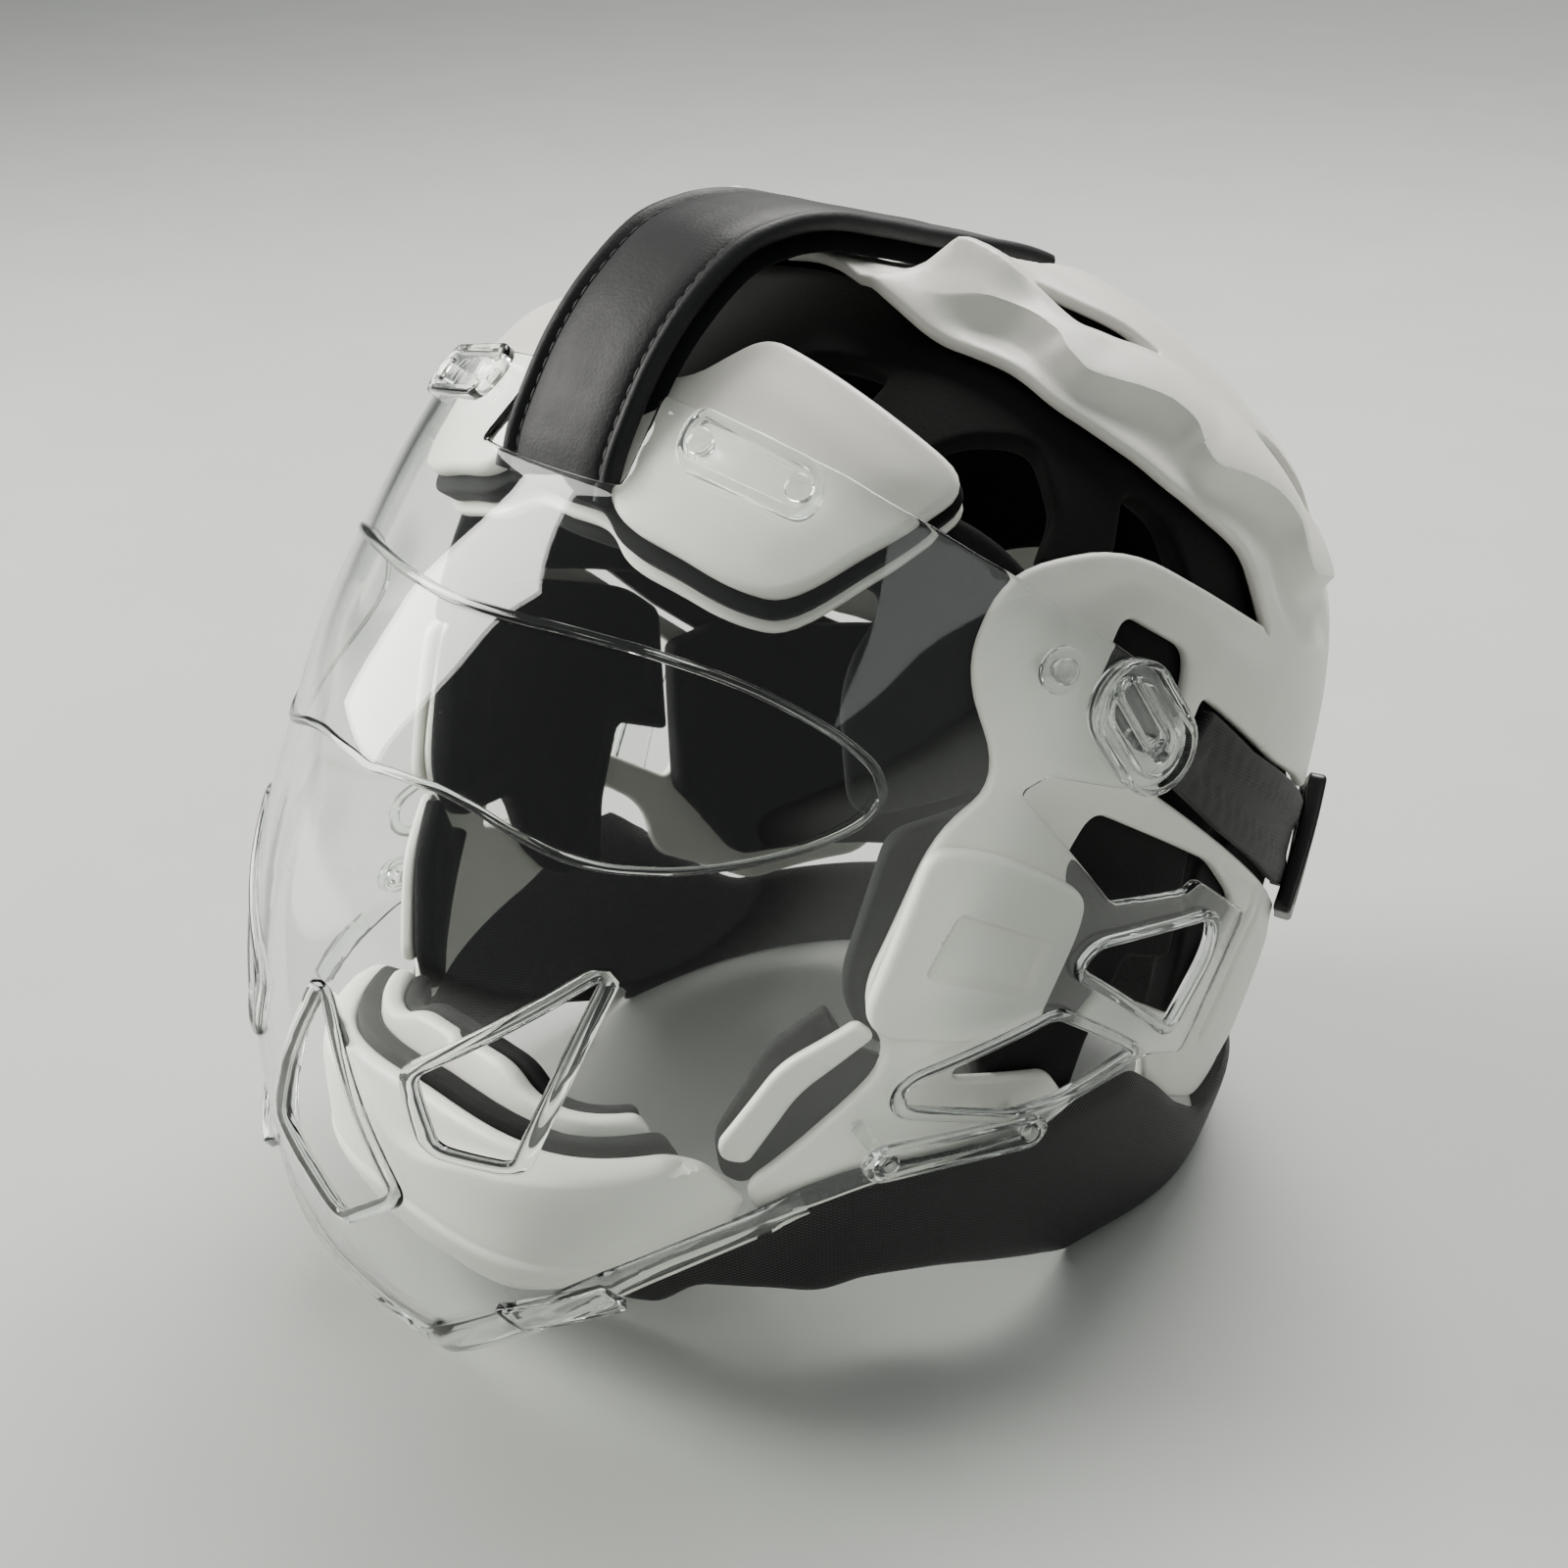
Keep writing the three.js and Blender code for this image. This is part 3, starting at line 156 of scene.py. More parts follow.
# Outlines on a side: angle, level and ease of the corner
SIDE_FRAME = [
    (106, 64.4, 0), (79.5, 76.6, 5.6), (62, 76, 5.6), (55.5, 68.8, 8), (60, 58.8, 4.8), (52, 54.6, 4),
    (44, 39.2, 4), (48, 32.8, 4), (32, 20, 1.6), (33, 16.8, 1.2), (62, 19.6, 1.6), (74, 22, 0.8),
    (70, 26, 1.2), (55, 29, 1.2), (58, 32.4, 2), (64, 33.6, 2.4), (71, 44, 4), (68, 48.8, 4),
    (72.5, 53.6, 2), (97, 42.4, 2), (107, 34.8, 3.2), (101.5, 32, 2.4), (96.5, 24.8, 1.6),
    (77, 33.6, 0.6), (73.5, 31.4, 0.6), (90, 22.8, 3.2), (92, 16.4, 2), (112, 9.6, 2.4), (136, 11.2, 4),
    (140, 23.2, 4), (124, 29.6, 3.2), (82, 53.6, 1.6), (88, 57.6, 2), (91, 61, 1.2), (106, 52, 0),
]

COLUMN_GROOVES = [
    [(100, 41), (111.5, 34.6), (105, 30.2), (98, 21.5)],
    [(107, 40.2), (116.5, 34), (110.5, 29.4), (104, 20)],
]

PIVOT_HOLE = [(77.8, 70.8, 1.6), (88.5, 65.8, 2), (87, 60.8, 2.4), (80, 57.6, 2), (71.5, 64, 2.4)]

CHEEK_PLATE = [
    (51, 54, 2), (58, 53, 3.2), (70.5, 46.8, 3.2), (70, 43.2, 2.4), (64.5, 33.6, 2.4), (58, 33.8, 2.4),
    (46, 36, 2), (44.2, 38.8, 2),
]

CHEEK_PANEL = [(53.9, 48.2, 1), (65.6, 43.2, 1), (62.8, 38, 1), (50, 42.2, 1)]

JAW_RAIL = [
    (44, 37.2, 0.8), (46, 35.6, 0.8), (38, 30.4, 2), (32.5, 22.8, 0.8), (30, 23.2, 0.8),
    (29.5, 24.8, 0.8), (36, 33.2, 2),
]

JAW_FOAM = [
    (41, 38, 0.8), (44, 33.4, 0.8), (48, 31.6, 0.8), (32, 18.8, 1.2), (29.5, 20, 1.2), (29, 24.8, 1.2),
    (35, 34.4, 1.6),
]

CHEEK_PAD = [
    (47.5, 54.4, 2), (42.2, 39.2, 4), (46, 33.6, 2), (59, 32, 2), (61, 25, 2), (66, 20, 2),
    (76, 18.4, 2), (78.5, 26.2, 1.2), (84, 34.6, 1.2), (94.4, 31.6, 1.2), (94.8, 46.4, 1.2),
    (89, 50, 2), (72, 54.2, 2), (59, 56.2, 2),
]

HEADBAND_HALF = [
    (0, 82.4, 0), (50, 82.4, 2), (62, 78.8, 4), (68, 74, 4), (80, 72.4, 4), (92, 64.8, 3),
    (103, 57.2, 2), (112, 51.2, 1), (108, 44.8, 1), (92, 51.2, 3), (70, 56, 3), (58, 57.6, 2),
    (43, 56, 3), (41, 68, 4), (47, 74.8, 3), (40, 76, 2), (0, 76, 0),
]

# The nape pad and the elastic band cross the back, so their angles run past the rear
NAPE_PAD_HALF = [
    (180, 36.8, 0), (125, 40, 2), (112, 43.2, 2), (97, 41.6, 1.2), (96, 24, 1.2), (108, 13.6, 2),
    (150, 12, 2), (180, 12, 0),
]

REAR_STRAP_HALF = [
    (180, 33.6, 0), (145, 35.2, 4), (129.4, 39.2, 4), (117.2, 45.6, 0), (102.8, 52.8, 0),
    (92.4, 59.4, 0.6), (84.6, 54, 0.6), (97, 46, 0), (108, 39.8, 0), (118, 34.2, 0), (129, 29.4, 0),
    (145, 25.6, 4), (180, 24, 0),
]

SHIELD_HALF_OUTLINE = [
    (0, 82.4, 0), (13.4, 82.4, 0.8), (13.2, 88.9, 0.8), (20, 88.4, 1), (30, 87.6, 2), (41.6, 85.1, 2),
    (51.9, 81.4, 2), (61, 77.1, 2), (69, 72.5, 2), (75.8, 68.4, 1), (81.5, 65.2, 2), (84.4, 62, 2),
    (83.8, 58.4, 2), (80.4, 55.2, 1.5), (74.7, 56.3, 1), (64.4, 59.5, 0.8), (61, 58.6, 0.8),
    (74.1, 45.2, 0.8), (87.2, 42.9, 1), (89.3, 43.6, 0.8), (101, 36.8, 1), (93, 22.8, 1), (84, 25.4, 2),
    (72, 24, 2), (66, 21.8, 2), (46, 23, 2), (37, 21.6, 2), (28, 18, 2), (19, 12, 3), (10, 5.2, 4),
    (4, 0.7, 2), (0, 0, 0),
]

RIM_HALF = [(41, 22.4)] + [row[:2] for row in SHIELD_HALF_OUTLINE[-6:]]

WING_WINDOW = [(69.5, 39.8, 1.2), (72, 41.4, 1.6), (93, 38.8, 2), (93.5, 34.8, 2.4), (88, 27.6, 1)]

LOWER_WINDOW = [
    (49, 33.6, 1.6), (66.5, 35.6, 1.2), (81.5, 26.8, 0.8), (69, 25.4, 1.2), (62, 26, 1.6),
    (48.5, 31, 1.6),
]

MOUTH_VENT = [(10, 36, 1.2), (12, 29.6, 0.8), (18, 29.2, 0.8), (24.3, 47.2, 1.2)]

KITE_VENT = [(0, 40.4, 1.2), (7.5, 22.8, 1.2), (0, 16.4, 1.2), (-7.5, 22.8, 1.2)]

# The line of the lens on the shield: angle and level
LENS_HALF = [
    (0, 59.5), (2.9, 59.8), (7.3, 59.9), (11.4, 59.2), (16.1, 57.6), (20.3, 56.3), (24.3, 55.7),
    (28.1, 55.6), (32.7, 55.9), (37.5, 56.6), (41.7, 57.6), (44.8, 59), (46.2, 60.9), (45.7, 62.6),
    (43.3, 65), (38.7, 67.7), (33.1, 69.9), (27.4, 71.3), (20.4, 72.3), (13, 72.7), (5.7, 72.7),
    (0, 72.6),
]

BUMPER_HALF = [
    (0, 25.8, 0), (17, 25.4, 1), (27, 25.2, 1), (30, 23.7, 1.2), (32.1, 20.6, 1), (32.9, 19.2, 1),
    (31, 16, 1.2), (28.6, 14.8, 1.2), (20, 12, 1.6), (13.6, 9.2, 1.6), (3, 7.6, 1), (0, 7, 0),
]

CHIN_FOAM_HALF = [
    (0, 27, 0), (18, 26.4, 1), (27, 26.2, 1), (29, 23, 1.2), (28, 17, 1.2), (18, 13.5, 1.6), (0, 10, 0),
]

CHIN_RAIL_HALF = [
    (0, 30.6, 0), (7, 30.6, 1.6), (11, 28.6, 1.6), (25, 27.6, 1), (27, 24.5, 1.2), (26, 19, 1.2),
    (18, 15, 1.6), (0, 12, 0),
]

CHIN_LINING_HALF = [
    (0, 31, 0), (8, 30.8, 1.6), (12, 28.8, 1.6), (25, 27.6, 1), (26.5, 24, 1.2), (26, 19, 1.2),
    (17, 15, 1.6), (0, 12.6, 0),
]

# The step across the bumper, and the raised panel below it
BUMPER_STEP = [(-26, 24), (-21, 23.6), (-10, 22.2), (0, 19.6), (10, 22.2), (21, 23.6), (26, 24)]

BUMPER_PANEL_HALF = [
    (0, 14.4, 0), (14, 14.8, 1), (22, 15.2, 0.8), (21, 12.8, 0.8), (12, 9.2, 1), (0, 7.8, 0),
]

# Outlines on the crown map: u, v and ease
CROWN_FRONT_EDGE = [
    (0, -13.2, 0), (2.4, -13.2, 0.6), (3.2, -10.4, 0.6), (4.8, -10, 1.2), (10.8, -11.8, 2.4),
    (17.2, -10.8, 2), (24, -7.8, 2), (29.6, -7, 2), (35.2, -4.2, 2), (41.6, 0, 2), (46.4, 5.2, 2),
    (50.4, 11, 2),
]

CROWN_REAR_EDGE = [
    (72, 26.8, 3), (71.2, 34.8, 3), (69.6, 43.2, 3), (67.2, 52.4, 4), (60, 64, 4), (44.8, 76, 6),
    (24, 84.8, 6), (0, 87.6, 0),
]

CROWN_VENT = [
    (14.4, 1.6, 0.6), (20.8, 1.8, 1), (24, 4.8, 1), (27.2, 10.4, 0.8), (23.2, 8.4, 1), (18.8, 4.8, 1),
]

REAR_VENT = [(35.2, 24.8, 1), (40, 32, 1.2), (41.6, 40, 1), (37.6, 38.4, 1.2), (34.4, 32, 1.2)]

CROWN_LINER_HALF = [
    (0, -36.8, 0), (7.2, -36, 0.8), (7.6, -24.8, 2.4), (10.8, -17.6, 3.2), (17.6, -15.2, 2.4),
    (19.6, -22.4, 1.6), (21.6, -28, 0.8), (26.4, -24.8, 0.8), (28, -15.2, 3.2), (31.6, -10, 2.4),
    (40, -12.8, 1.6), (43.2, -17.2, 0.8), (46.4, -16, 0.8), (47.2, -8.8, 2.4), (40.4, -3.6, 2),
    (45.2, 0.8, 1.6), (51.6, 2, 1.6), (60, 4, 2), (66, 16, 3.2), (64, 36, 3.2), (60, 52, 4),
    (40, 68, 6), (0, 78, 0),
]

FOREHEAD_HALF = [
    (0, -43.6, 0), (6.8, -43.2, 2.4), (11.2, -45.4, 4), (24, -44, 4), (30, -41.2, 7.2),
    (33.8, -28.8, 4), (34.2, -21.2, 3.6), (24, -22.6, 4), (10.8, -23.6, 2.4), (7.2, -31.6, 3.2),
    (0, -32.4, 0),
]
FOREHEAD_FOAM_SHOW = 1.8
FOREHEAD_RAIL_SHOW = 3

# Scalloped ridges along each side of the crown, in millimetres on its map: u and v
UPPER_RIDGE = [
    (9, -20), (15, -21.6), (20.7, -16.6), (25.2, -11), (32.8, -6.4), (39.3, -4.2), (46, -1.2), (52, 6),
]
LOWER_RIDGE = [
    (33, -23), (38, -17.5), (42.9, -11.2), (49.2, -8), (56.7, -7.3), (63.2, -8.8), (69.2, -8.6),
    (74.1, -4.6), (79, 2.2), (85.7, 10.2), (92, 13.6), (98.3, 12.6), (102.6, 15), (106.3, 27),
    (111, 45), (117, 56), (124, 60), (128, 68), (124, 86), (116, 104),
]

# Top strap: rise of its outer face over the shell skin, along the middle of the crown
TOP_STRAP = [
    (-45, 3.8), (-41.4, 5.5), (-37.2, 6.7), (-32.6, 7.9), (-27.2, 8.8), (-21.2, 9.3), (-15.8, 8.2),
    (-11.3, 6.5), (-5.7, 3.8), (0.8, 1.5), (8.9, 0.1), (18.3, -0.35),
]
STRAP_CHANNEL = [(-40.2, 5.8), *TOP_STRAP[2:9], (0.8, 1.6), (8.9, 0.2), (18.3, 0.2)]

# Raised lobe on each side of the channel: place along the crown, and rise
LOBE = [(-13.2, 3.2), (-4, 3.2), (0, 1.6), (8, 0)]

# Channel: rear end, foot and top of its front arch, side, slope, the liner's wider copy and room below
CHANNEL_END = 40
ARCH_FOOT = -26
ARCH_TOP = -13.2
CHANNEL_SIDE = 4
CHANNEL_SLOPE = 2.4
CHANNEL_EASE = 0.8
CHANNEL_ROOM = 2.8
LOBE_WIDTH = 10

# Chin strap: angle, and the levels of its two edges
CHIN_STRAP = [
    (0, 10.4, 3.2), (12, 10.4, 3.2), (20, 11.6, 4), (27, 15, 8), (33, 18.2, 7.4), (39.4, 21.1, 6.2),
    (45, 22.2, 7.1), (53, 22, 6.4), (64.4, 21.8, 4), (73, 22, 2), (84, 22.6, 0), (90, 20, 0),
    (102.8, 12.7, 0), (112, 9.6, 0), (180, 9.6, 0),
]

# Its wall at the edges as a share, the bulge of its middle, and the tuck of its inner edges
CHIN_STRAP_EDGE = 0.35
CHIN_STRAP_BULGE = 0.5
CHIN_STRAP_TUCK = 0.7

# Hems of the elastic band: depth and half width of the seam, and width of the step at the hem's end
HEM_SEAM = 0.35
HEM_SEAM_HALF = 0.8
HEM_STEP = 1.2

# Fasteners of the shield: angle and level of each, and how far the pins go into what they hold
FOREHEAD_PINS = [(22.6, 86), (36.3, 83.7)]
TEMPLE_PIN = (65.6, 68.9)
PIVOT_HEAD = [(74.5, 64.4), (78.5, 59.6)]
PIVOT_SLOT = [(73.6, 66), (77.6, 61)]
JAW_PINS = [(47, 25.8), (64, 23.6)]
PIN_SUNK = 0.4
PIVOT_THROUGH = 3.4

# Tab on the rim beside the chin: angle and level, then its size, its turn in radians and its depths
RIM_TAB = (20.5, 14.8)
RIM_TAB_SIZE = (17, 6.5)
RIM_TAB_TURN = 0.5
RIM_TAB_FACE = 4.6
RIM_TAB_WALL = 3

# Buckle: angle and level, its turn in degrees, and its size
BUCKLE_PLACE = (131, 33.6)
BUCKLE_TURN = -36
BUCKLE_SIZE = (17, 36)
BUCKLE_BAR = 3.4


def smooth(rows, column, at):
    """Curve through a table's rows that never overshoots them.

    Cubic between rows; the slope at a row is the weighted harmonic mean of the rises beside it.
    """
    table = np.asarray(rows, float)
    x, y = table[:, 0], table[:, column]
    wide = np.diff(x)
    rise = np.diff(y) / wide
    slope = np.concatenate([rise[:1], np.zeros(len(x) - 2), rise[-1:]])
    same = rise[:-1] * rise[1:] > 0
    first = (2 * wide[1:] + wide[:-1])[same]
    second = (wide[1:] + 2 * wide[:-1])[same]
    slope[1:-1][same] = (first + second) / (first / rise[:-1][same] + second / rise[1:][same])
    at = np.clip(at, x[0], x[-1])
    i = np.clip(np.searchsorted(x, at, side="right") - 1, 0, len(x) - 2)
    t = (at - x[i]) / wide[i]
    ends = y[i] * (1 + 2 * t) * (1 - t) ** 2 + y[i + 1] * t * t * (3 - 2 * t)
    return ends + wide[i] * t * (1 - t) * (slope[i] * (1 - t) - slope[i + 1] * t)


def ease(t):
    """Smooth step from 0 to 1."""
    s = np.clip(t, 0, 1)
    return s * s * (3 - 2 * s)


def skin_point(skin, angle, height):
    """Point of a skin: its level section is a superellipse |x/half|^n + |y/length|^n = 1."""
    front, rear, half, rows = skin
    level = 100 * np.asarray(height, float) / HEIGHT
    squared = np.column_stack([rows[:, 0], rows[:, 1:4] ** 2])
    sizes = [
        np.maximum(size * np.sqrt(np.maximum(smooth(squared, column, level), 0)), 1e-6)
        for column, size in ((1, front), (2, rear), (3, half))
    ]
    power = smooth(rows, 4, level)
    across = np.sin(np.radians(angle))
    along = np.cos(np.radians(angle))
    length = np.where(along > 0, sizes[0], sizes[1])
    radius = (np.abs(across / sizes[2]) ** power + np.abs(along / length) ** power) ** (-1 / power)
    return np.stack([radius * across, SECTION_Y - radius * along, height + 0 * radius], -1)


def side_of(skin):
    """Map of a skin's sides: (x, y) is the unrolled angle and the height."""
    return lambda x, y: skin_point(skin, x / MM_PER_DEGREE, y)


def crown(u, v):
    """Crown map: polar about the top of the head, its radius running down over the side.

    Points nearer to the middle than CROWN_MIDDLE are moved out to it, as the angle has no meaning there.
    """
    radius = np.maximum(np.hypot(u, v), CROWN_MIDDLE)
    below = radius - CROWN_RADIUS * math.pi / 2
    dome = CROWN_SPRING + (CROWN_TOP - CROWN_SPRING) * np.cos(radius / CROWN_RADIUS)
    height = np.where(below < 0, dome, CROWN_SPRING - below)
    return skin_point(SHELL, np.degrees(np.arctan2(u, -v)), height)


shell_side = side_of(SHELL)
shield_side = side_of(SHIELD)
jaw_side = side_of(JAW)


def normals(surface, x, y, step=0.2):
    """Outward normals of a mapped surface, from its two central differences."""
    over_x = surface(x + step, y) - surface(x - step, y)
    over_y = surface(x, y + step) - surface(x, y - step)
    turned = np.cross(over_x, over_y)
    return turned / np.linalg.norm(turned, axis=-1, keepdims=True)


def lifted(surface, x, y, depth):
    """Points at a depth outwards from a mapped surface."""
    x, y = np.asarray(x, float), np.asarray(y, float)
    return surface(x, y) + normals(surface, x, y) * np.asarray(depth)[..., None]


def side(rows):
    """Table of angle, level and ease in millimetres of the side map."""
    table = np.asarray(rows, float)
    columns = [table[:, 0] * MM_PER_DEGREE] + [percent(table[:, k]) for k in range(1, table.shape[1])]
    return np.column_stack(columns)


def mirrored(half, middle=0):
    """Whole outline from its left half: corners on the middle line are kept once."""
    off = half[np.abs(half[:, 0] - middle) > 1e-6]
    other = np.column_stack([2 * middle - off[:, 0], off[:, 1:]])
    return np.concatenate([half, other[::-1]])


def to_right(points):
    """The same outline on the wearer's right."""
    return points * np.array([-1] + [1] * (points.shape[1] - 1))


def grown(corners, distance):
    """Outline with each side moved outwards by the same distance."""
    spot = corners[:, :2]
    ahead = np.roll(spot, -1, 0) - spot
    turn = np.sign(np.sum(spot[:, 0] * np.roll(spot[:, 1], -1) - np.roll(spot[:, 0], -1) * spot[:, 1]))
    after = turn * np.column_stack([ahead[:, 1], -ahead[:, 0]])
    after /= np.linalg.norm(after, axis=1, keepdims=True)
    before = np.roll(after, 1, 0)
    share = distance / (1 + np.sum(before * after, 1))
    moved = spot + (before + after) * share[:, None]
    return np.column_stack([moved, corners[:, 2:]])


def traced(corners, step, turns=7):
    """Closed line through rows of x, y and ease.

    Each corner is a quadratic curve that starts and ends its ease away, or 0.45 of a short side, and the
    straights between are cut to the step.
    """
    line = []
    count = len(corners)
    for i, (x, y, reach) in enumerate(corners):
        corner = np.array([x, y])
        ends = []
        for other in (corners[i - 1][:2], corners[(i + 1) % count][:2]):
            way = np.asarray(other) - corner
            length = np.linalg.norm(way)
            ends.append(corner + way * min(reach, 0.45 * length) / length)
        if reach == 0:
            line.append(corner[None])
            continue
        t = np.linspace(0, 1, turns)[:, None]
        line.append(ends[0] * (1 - t) ** 2 + 2 * corner * t * (1 - t) + ends[1] * t * t)
    points = np.concatenate(line)
    gaps = np.linalg.norm(np.roll(points, -1, 0) - points, axis=1)
    pieces = np.maximum(np.ceil(gaps / step), 1).astype(int)
    start = np.repeat(np.arange(len(points)), pieces)
    share = (np.arange(pieces.sum()) - np.repeat(np.cumsum(pieces) - pieces, pieces)) / pieces[start]
    following = np.roll(points, -1, 0)[start]
    return points[start] + (following - points[start]) * share[:, None]


def spot_of(row):
    """Point of the side map from an angle and a level."""
    return row[0] * MM_PER_DEGREE, float(percent(row[1]))


def turned_box(place, size, turn, corner_ease):
    """Corners of a turned rectangle on a side map, with their ease."""
    corner = np.array([(-1, -1), (1, -1), (1, 1), (-1, 1)]) * np.array(size) / 2
    c, s = math.cos(turn), math.sin(turn)
    across = c * corner[:, 0] - s * corner[:, 1]
    along = s * corner[:, 0] + c * corner[:, 1]
    return np.column_stack([np.asarray(place) + np.column_stack([across, along]), np.full(4, corner_ease)])


def circle(x, y, radius, sides=28):
    """Round line about a point of a map."""
    turn = np.arange(sides) * 2 * math.pi / sides
    return np.column_stack([x + radius * np.cos(turn), y + radius * np.sin(turn)])


def pill(start, end, radius, sides=14):
    """Line round a bar with round ends, from two points of a map."""
    start, end = np.asarray(start, float), np.asarray(end, float)
    way = math.atan2(end[1] - start[1], end[0] - start[0])
    turn = way - math.pi / 2 + np.linspace(0, math.pi, sides)
    cap = radius * np.column_stack([np.cos(turn), np.sin(turn)])
    return np.concatenate([end + cap, start - cap])


def segments(loops, left_out=None):
    """Start and end points of closed lines' sides, without those that left_out picks at both ends."""
    starts = np.concatenate(loops)
    ends = np.concatenate([np.roll(loop, -1, 0) for loop in loops])
    if left_out is None:
        return starts, ends
    keep = ~(left_out(starts) & left_out(ends))
    return starts[keep], ends[keep]


def nearest(points, starts, ends, chunk=1500):
    """Where points lie from the sides of some lines.

    Gives the distance to the nearest side, 1 on its left or -1 on its right, and the number of that side
    with the share of it that lies behind.
    """
    way = ends - starts
    size = np.maximum(np.sum(way * way, 1), 1e-12)
    distance, turn, which = [], [], []
    for k in range(0, len(points), chunk):
        to = points[k:k + chunk, None, :] - starts[None]
        share = np.clip(np.sum(to * way, 2) / size, 0, 1)
        off = to - share[..., None] * way
        square = np.sum(off * off, 2)
        best = np.argmin(square, 1)
        row = np.arange(len(best))
        distance.append(np.sqrt(square[row, best]))
        near = to[row, best]
        turn.append(np.sign(way[best, 0] * near[:, 1] - way[best, 1] * near[:, 0]))
        which.append(best + share[row, best])
    return np.concatenate(distance), np.concatenate(turn), np.concatenate(which)


def inside(points, loops, chunk=4000):
    """True where a point has an odd number of crossings of the closed lines to its right."""
    starts, ends = segments(loops)
    odd = []
    for k in range(0, len(points), chunk):
        x, y = points[k:k + chunk, 0, None], points[k:k + chunk, 1, None]
        spans = (starts[:, 1] > y) != (ends[:, 1] > y)
        rise = np.where(spans, ends[:, 1] - starts[:, 1], 1)
        cross = starts[:, 0] + (y - starts[:, 1]) * (ends[:, 0] - starts[:, 0]) / rise
        odd.append(np.sum(spans & (x < cross), 1) % 2 == 1)
    return np.concatenate(odd)


def offset(loop, distance):
    """Points of a closed line moved sideways by a distance, positive to its left."""
    way = np.roll(loop, -1, 0) - np.roll(loop, 1, 0)
    way /= np.maximum(np.linalg.norm(way, axis=1, keepdims=True), 1e-9)
    return loop + distance * np.column_stack([-way[:, 1], way[:, 0]])


def grid(loops, grain):
    """Staggered points over the box of some lines: a grain apart, in rows 0.866 of a grain apart."""
    low = np.min([loop.min(0) for loop in loops], 0)
    high = np.max([loop.max(0) for loop in loops], 0)
    x, y = np.meshgrid(
        np.arange(low[0], high[0], grain),
        np.arange(low[1], high[1], grain * 0.866),
    )
    x[1::2] += grain / 2
    return np.column_stack([x.ravel(), y.ravel()])


# Rings beside an edge, as shares of its rounding, and rows of points beside a crease, in millimetres
FILLET = (0.08, 0.3, 0.62, 1)
CREASE_ROWS = (-1.3, -0.5, 0, 0.5, 1.3)
# Least distance from any edge: a ring's as a share of its own, and the grid's as a share and a gap
RING_ROOM = 0.93
GRID_ROOM = 1.25
GRID_GAP = 0.2
# Triangles with less area than this are left out
SLIVER = 1e-7


def filling(loops, creases, wide, grain):
    """Points that fill an outline: rings along its edges, a staggered grid and rows along its creases."""
    sets = [(offset(loop, turn * share * wide), share * wide * RING_ROOM)
            for loop in loops for share in FILLET for turn in (-1, 1)]
    loose = [grid(loops, grain)] + [offset(line, across) for line in creases for across in CREASE_ROWS]
    sets += [(points, GRID_ROOM * wide + GRID_GAP) for points in loose]
    extra = np.concatenate([points for points, _ in sets])
    room = np.concatenate([np.full(len(points), least) for points, least in sets])
    within = inside(extra, loops)
    extra, room = extra[within], room[within]
    return extra[nearest(extra, *segments(loops))[0] >= room]


def triangles(loops, extra):
    """Constrained Delaunay triangles between closed lines, through loose points, turned one way."""
    begin = np.cumsum([0] + [len(loop) for loop in loops])
    sides = [(first + k, first + (k + 1) % len(loop)) for first, loop in zip(begin, loops)
             for k in range(len(loop))]
    flat = [Vector(spot) for spot in np.concatenate([*loops, extra])]
    spots, _, filled, _, _, _ = delaunay_2d_cdt(flat, sides, [], 0, 1e-5)
    spot = np.array([tuple(point) for point in spots])
    faces = np.array([face for face in filled if len(face) == 3])
    faces = faces[inside(spot[faces].mean(1), loops)]
    first, second, third = (spot[faces[:, k]] for k in range(3))
    area = np.cross(second - first, third - first)
    faces, area = faces[np.abs(area) > SLIVER], area[np.abs(area) > SLIVER]
    faces[area < 0] = faces[area < 0][:, ::-1]
    return spot, faces


def plate(surface, outline, outer, wall, rounding, under, grain, holes=(), relief=None, hollow=None,
          seam=None, creases=()):
    """A wall with rounded edges between two depths of a mapped surface: points, faces and flat map.

    At a distance d from an edge a face drops by r - sqrt(r^2 - (r - d)^2) until d is r, where r is the
    rounding outside and under inside. relief(x, y, d) raises the outer face and hollow(x, y, d) the inner
    one. Edges that seam picks stay square, and each crease is a line with close rows of points beside it.
    """
    loops = [np.asarray(loop)[:, :2] for loop in (outline, *holes)]
    spot, faces = triangles(loops, filling(loops, creases, max(rounding, under), grain))
    distance = nearest(spot, *segments(loops, seam))[0]
    x, y = spot.T

    def drop(radius):
        near = np.minimum(distance, radius)
        return radius - np.sqrt(np.maximum(radius ** 2 - (radius - near) ** 2, 0))

    top = outer - drop(rounding) + (relief(x, y, distance) if relief else 0)
    base = outer - wall + drop(under) + (hollow(x, y, distance) if hollow else 0)
    points = np.concatenate([lifted(surface, x, y, top), lifted(surface, x, y, base)])
    count = len(spot)
    directed = np.concatenate([faces[:, [0, 1]], faces[:, [1, 2]], faces[:, [2, 0]]])
    key = directed[:, 0] * count + directed[:, 1]
    rim = directed[~np.isin(key, directed[:, 1] * count + directed[:, 0])]
    walls = np.column_stack([rim[:, 1], rim[:, 0], rim[:, 0] + count, rim[:, 1] + count])
    faces = faces.tolist() + (faces[:, ::-1] + count).tolist() + walls.tolist()
    return points, faces, np.concatenate([spot, spot])


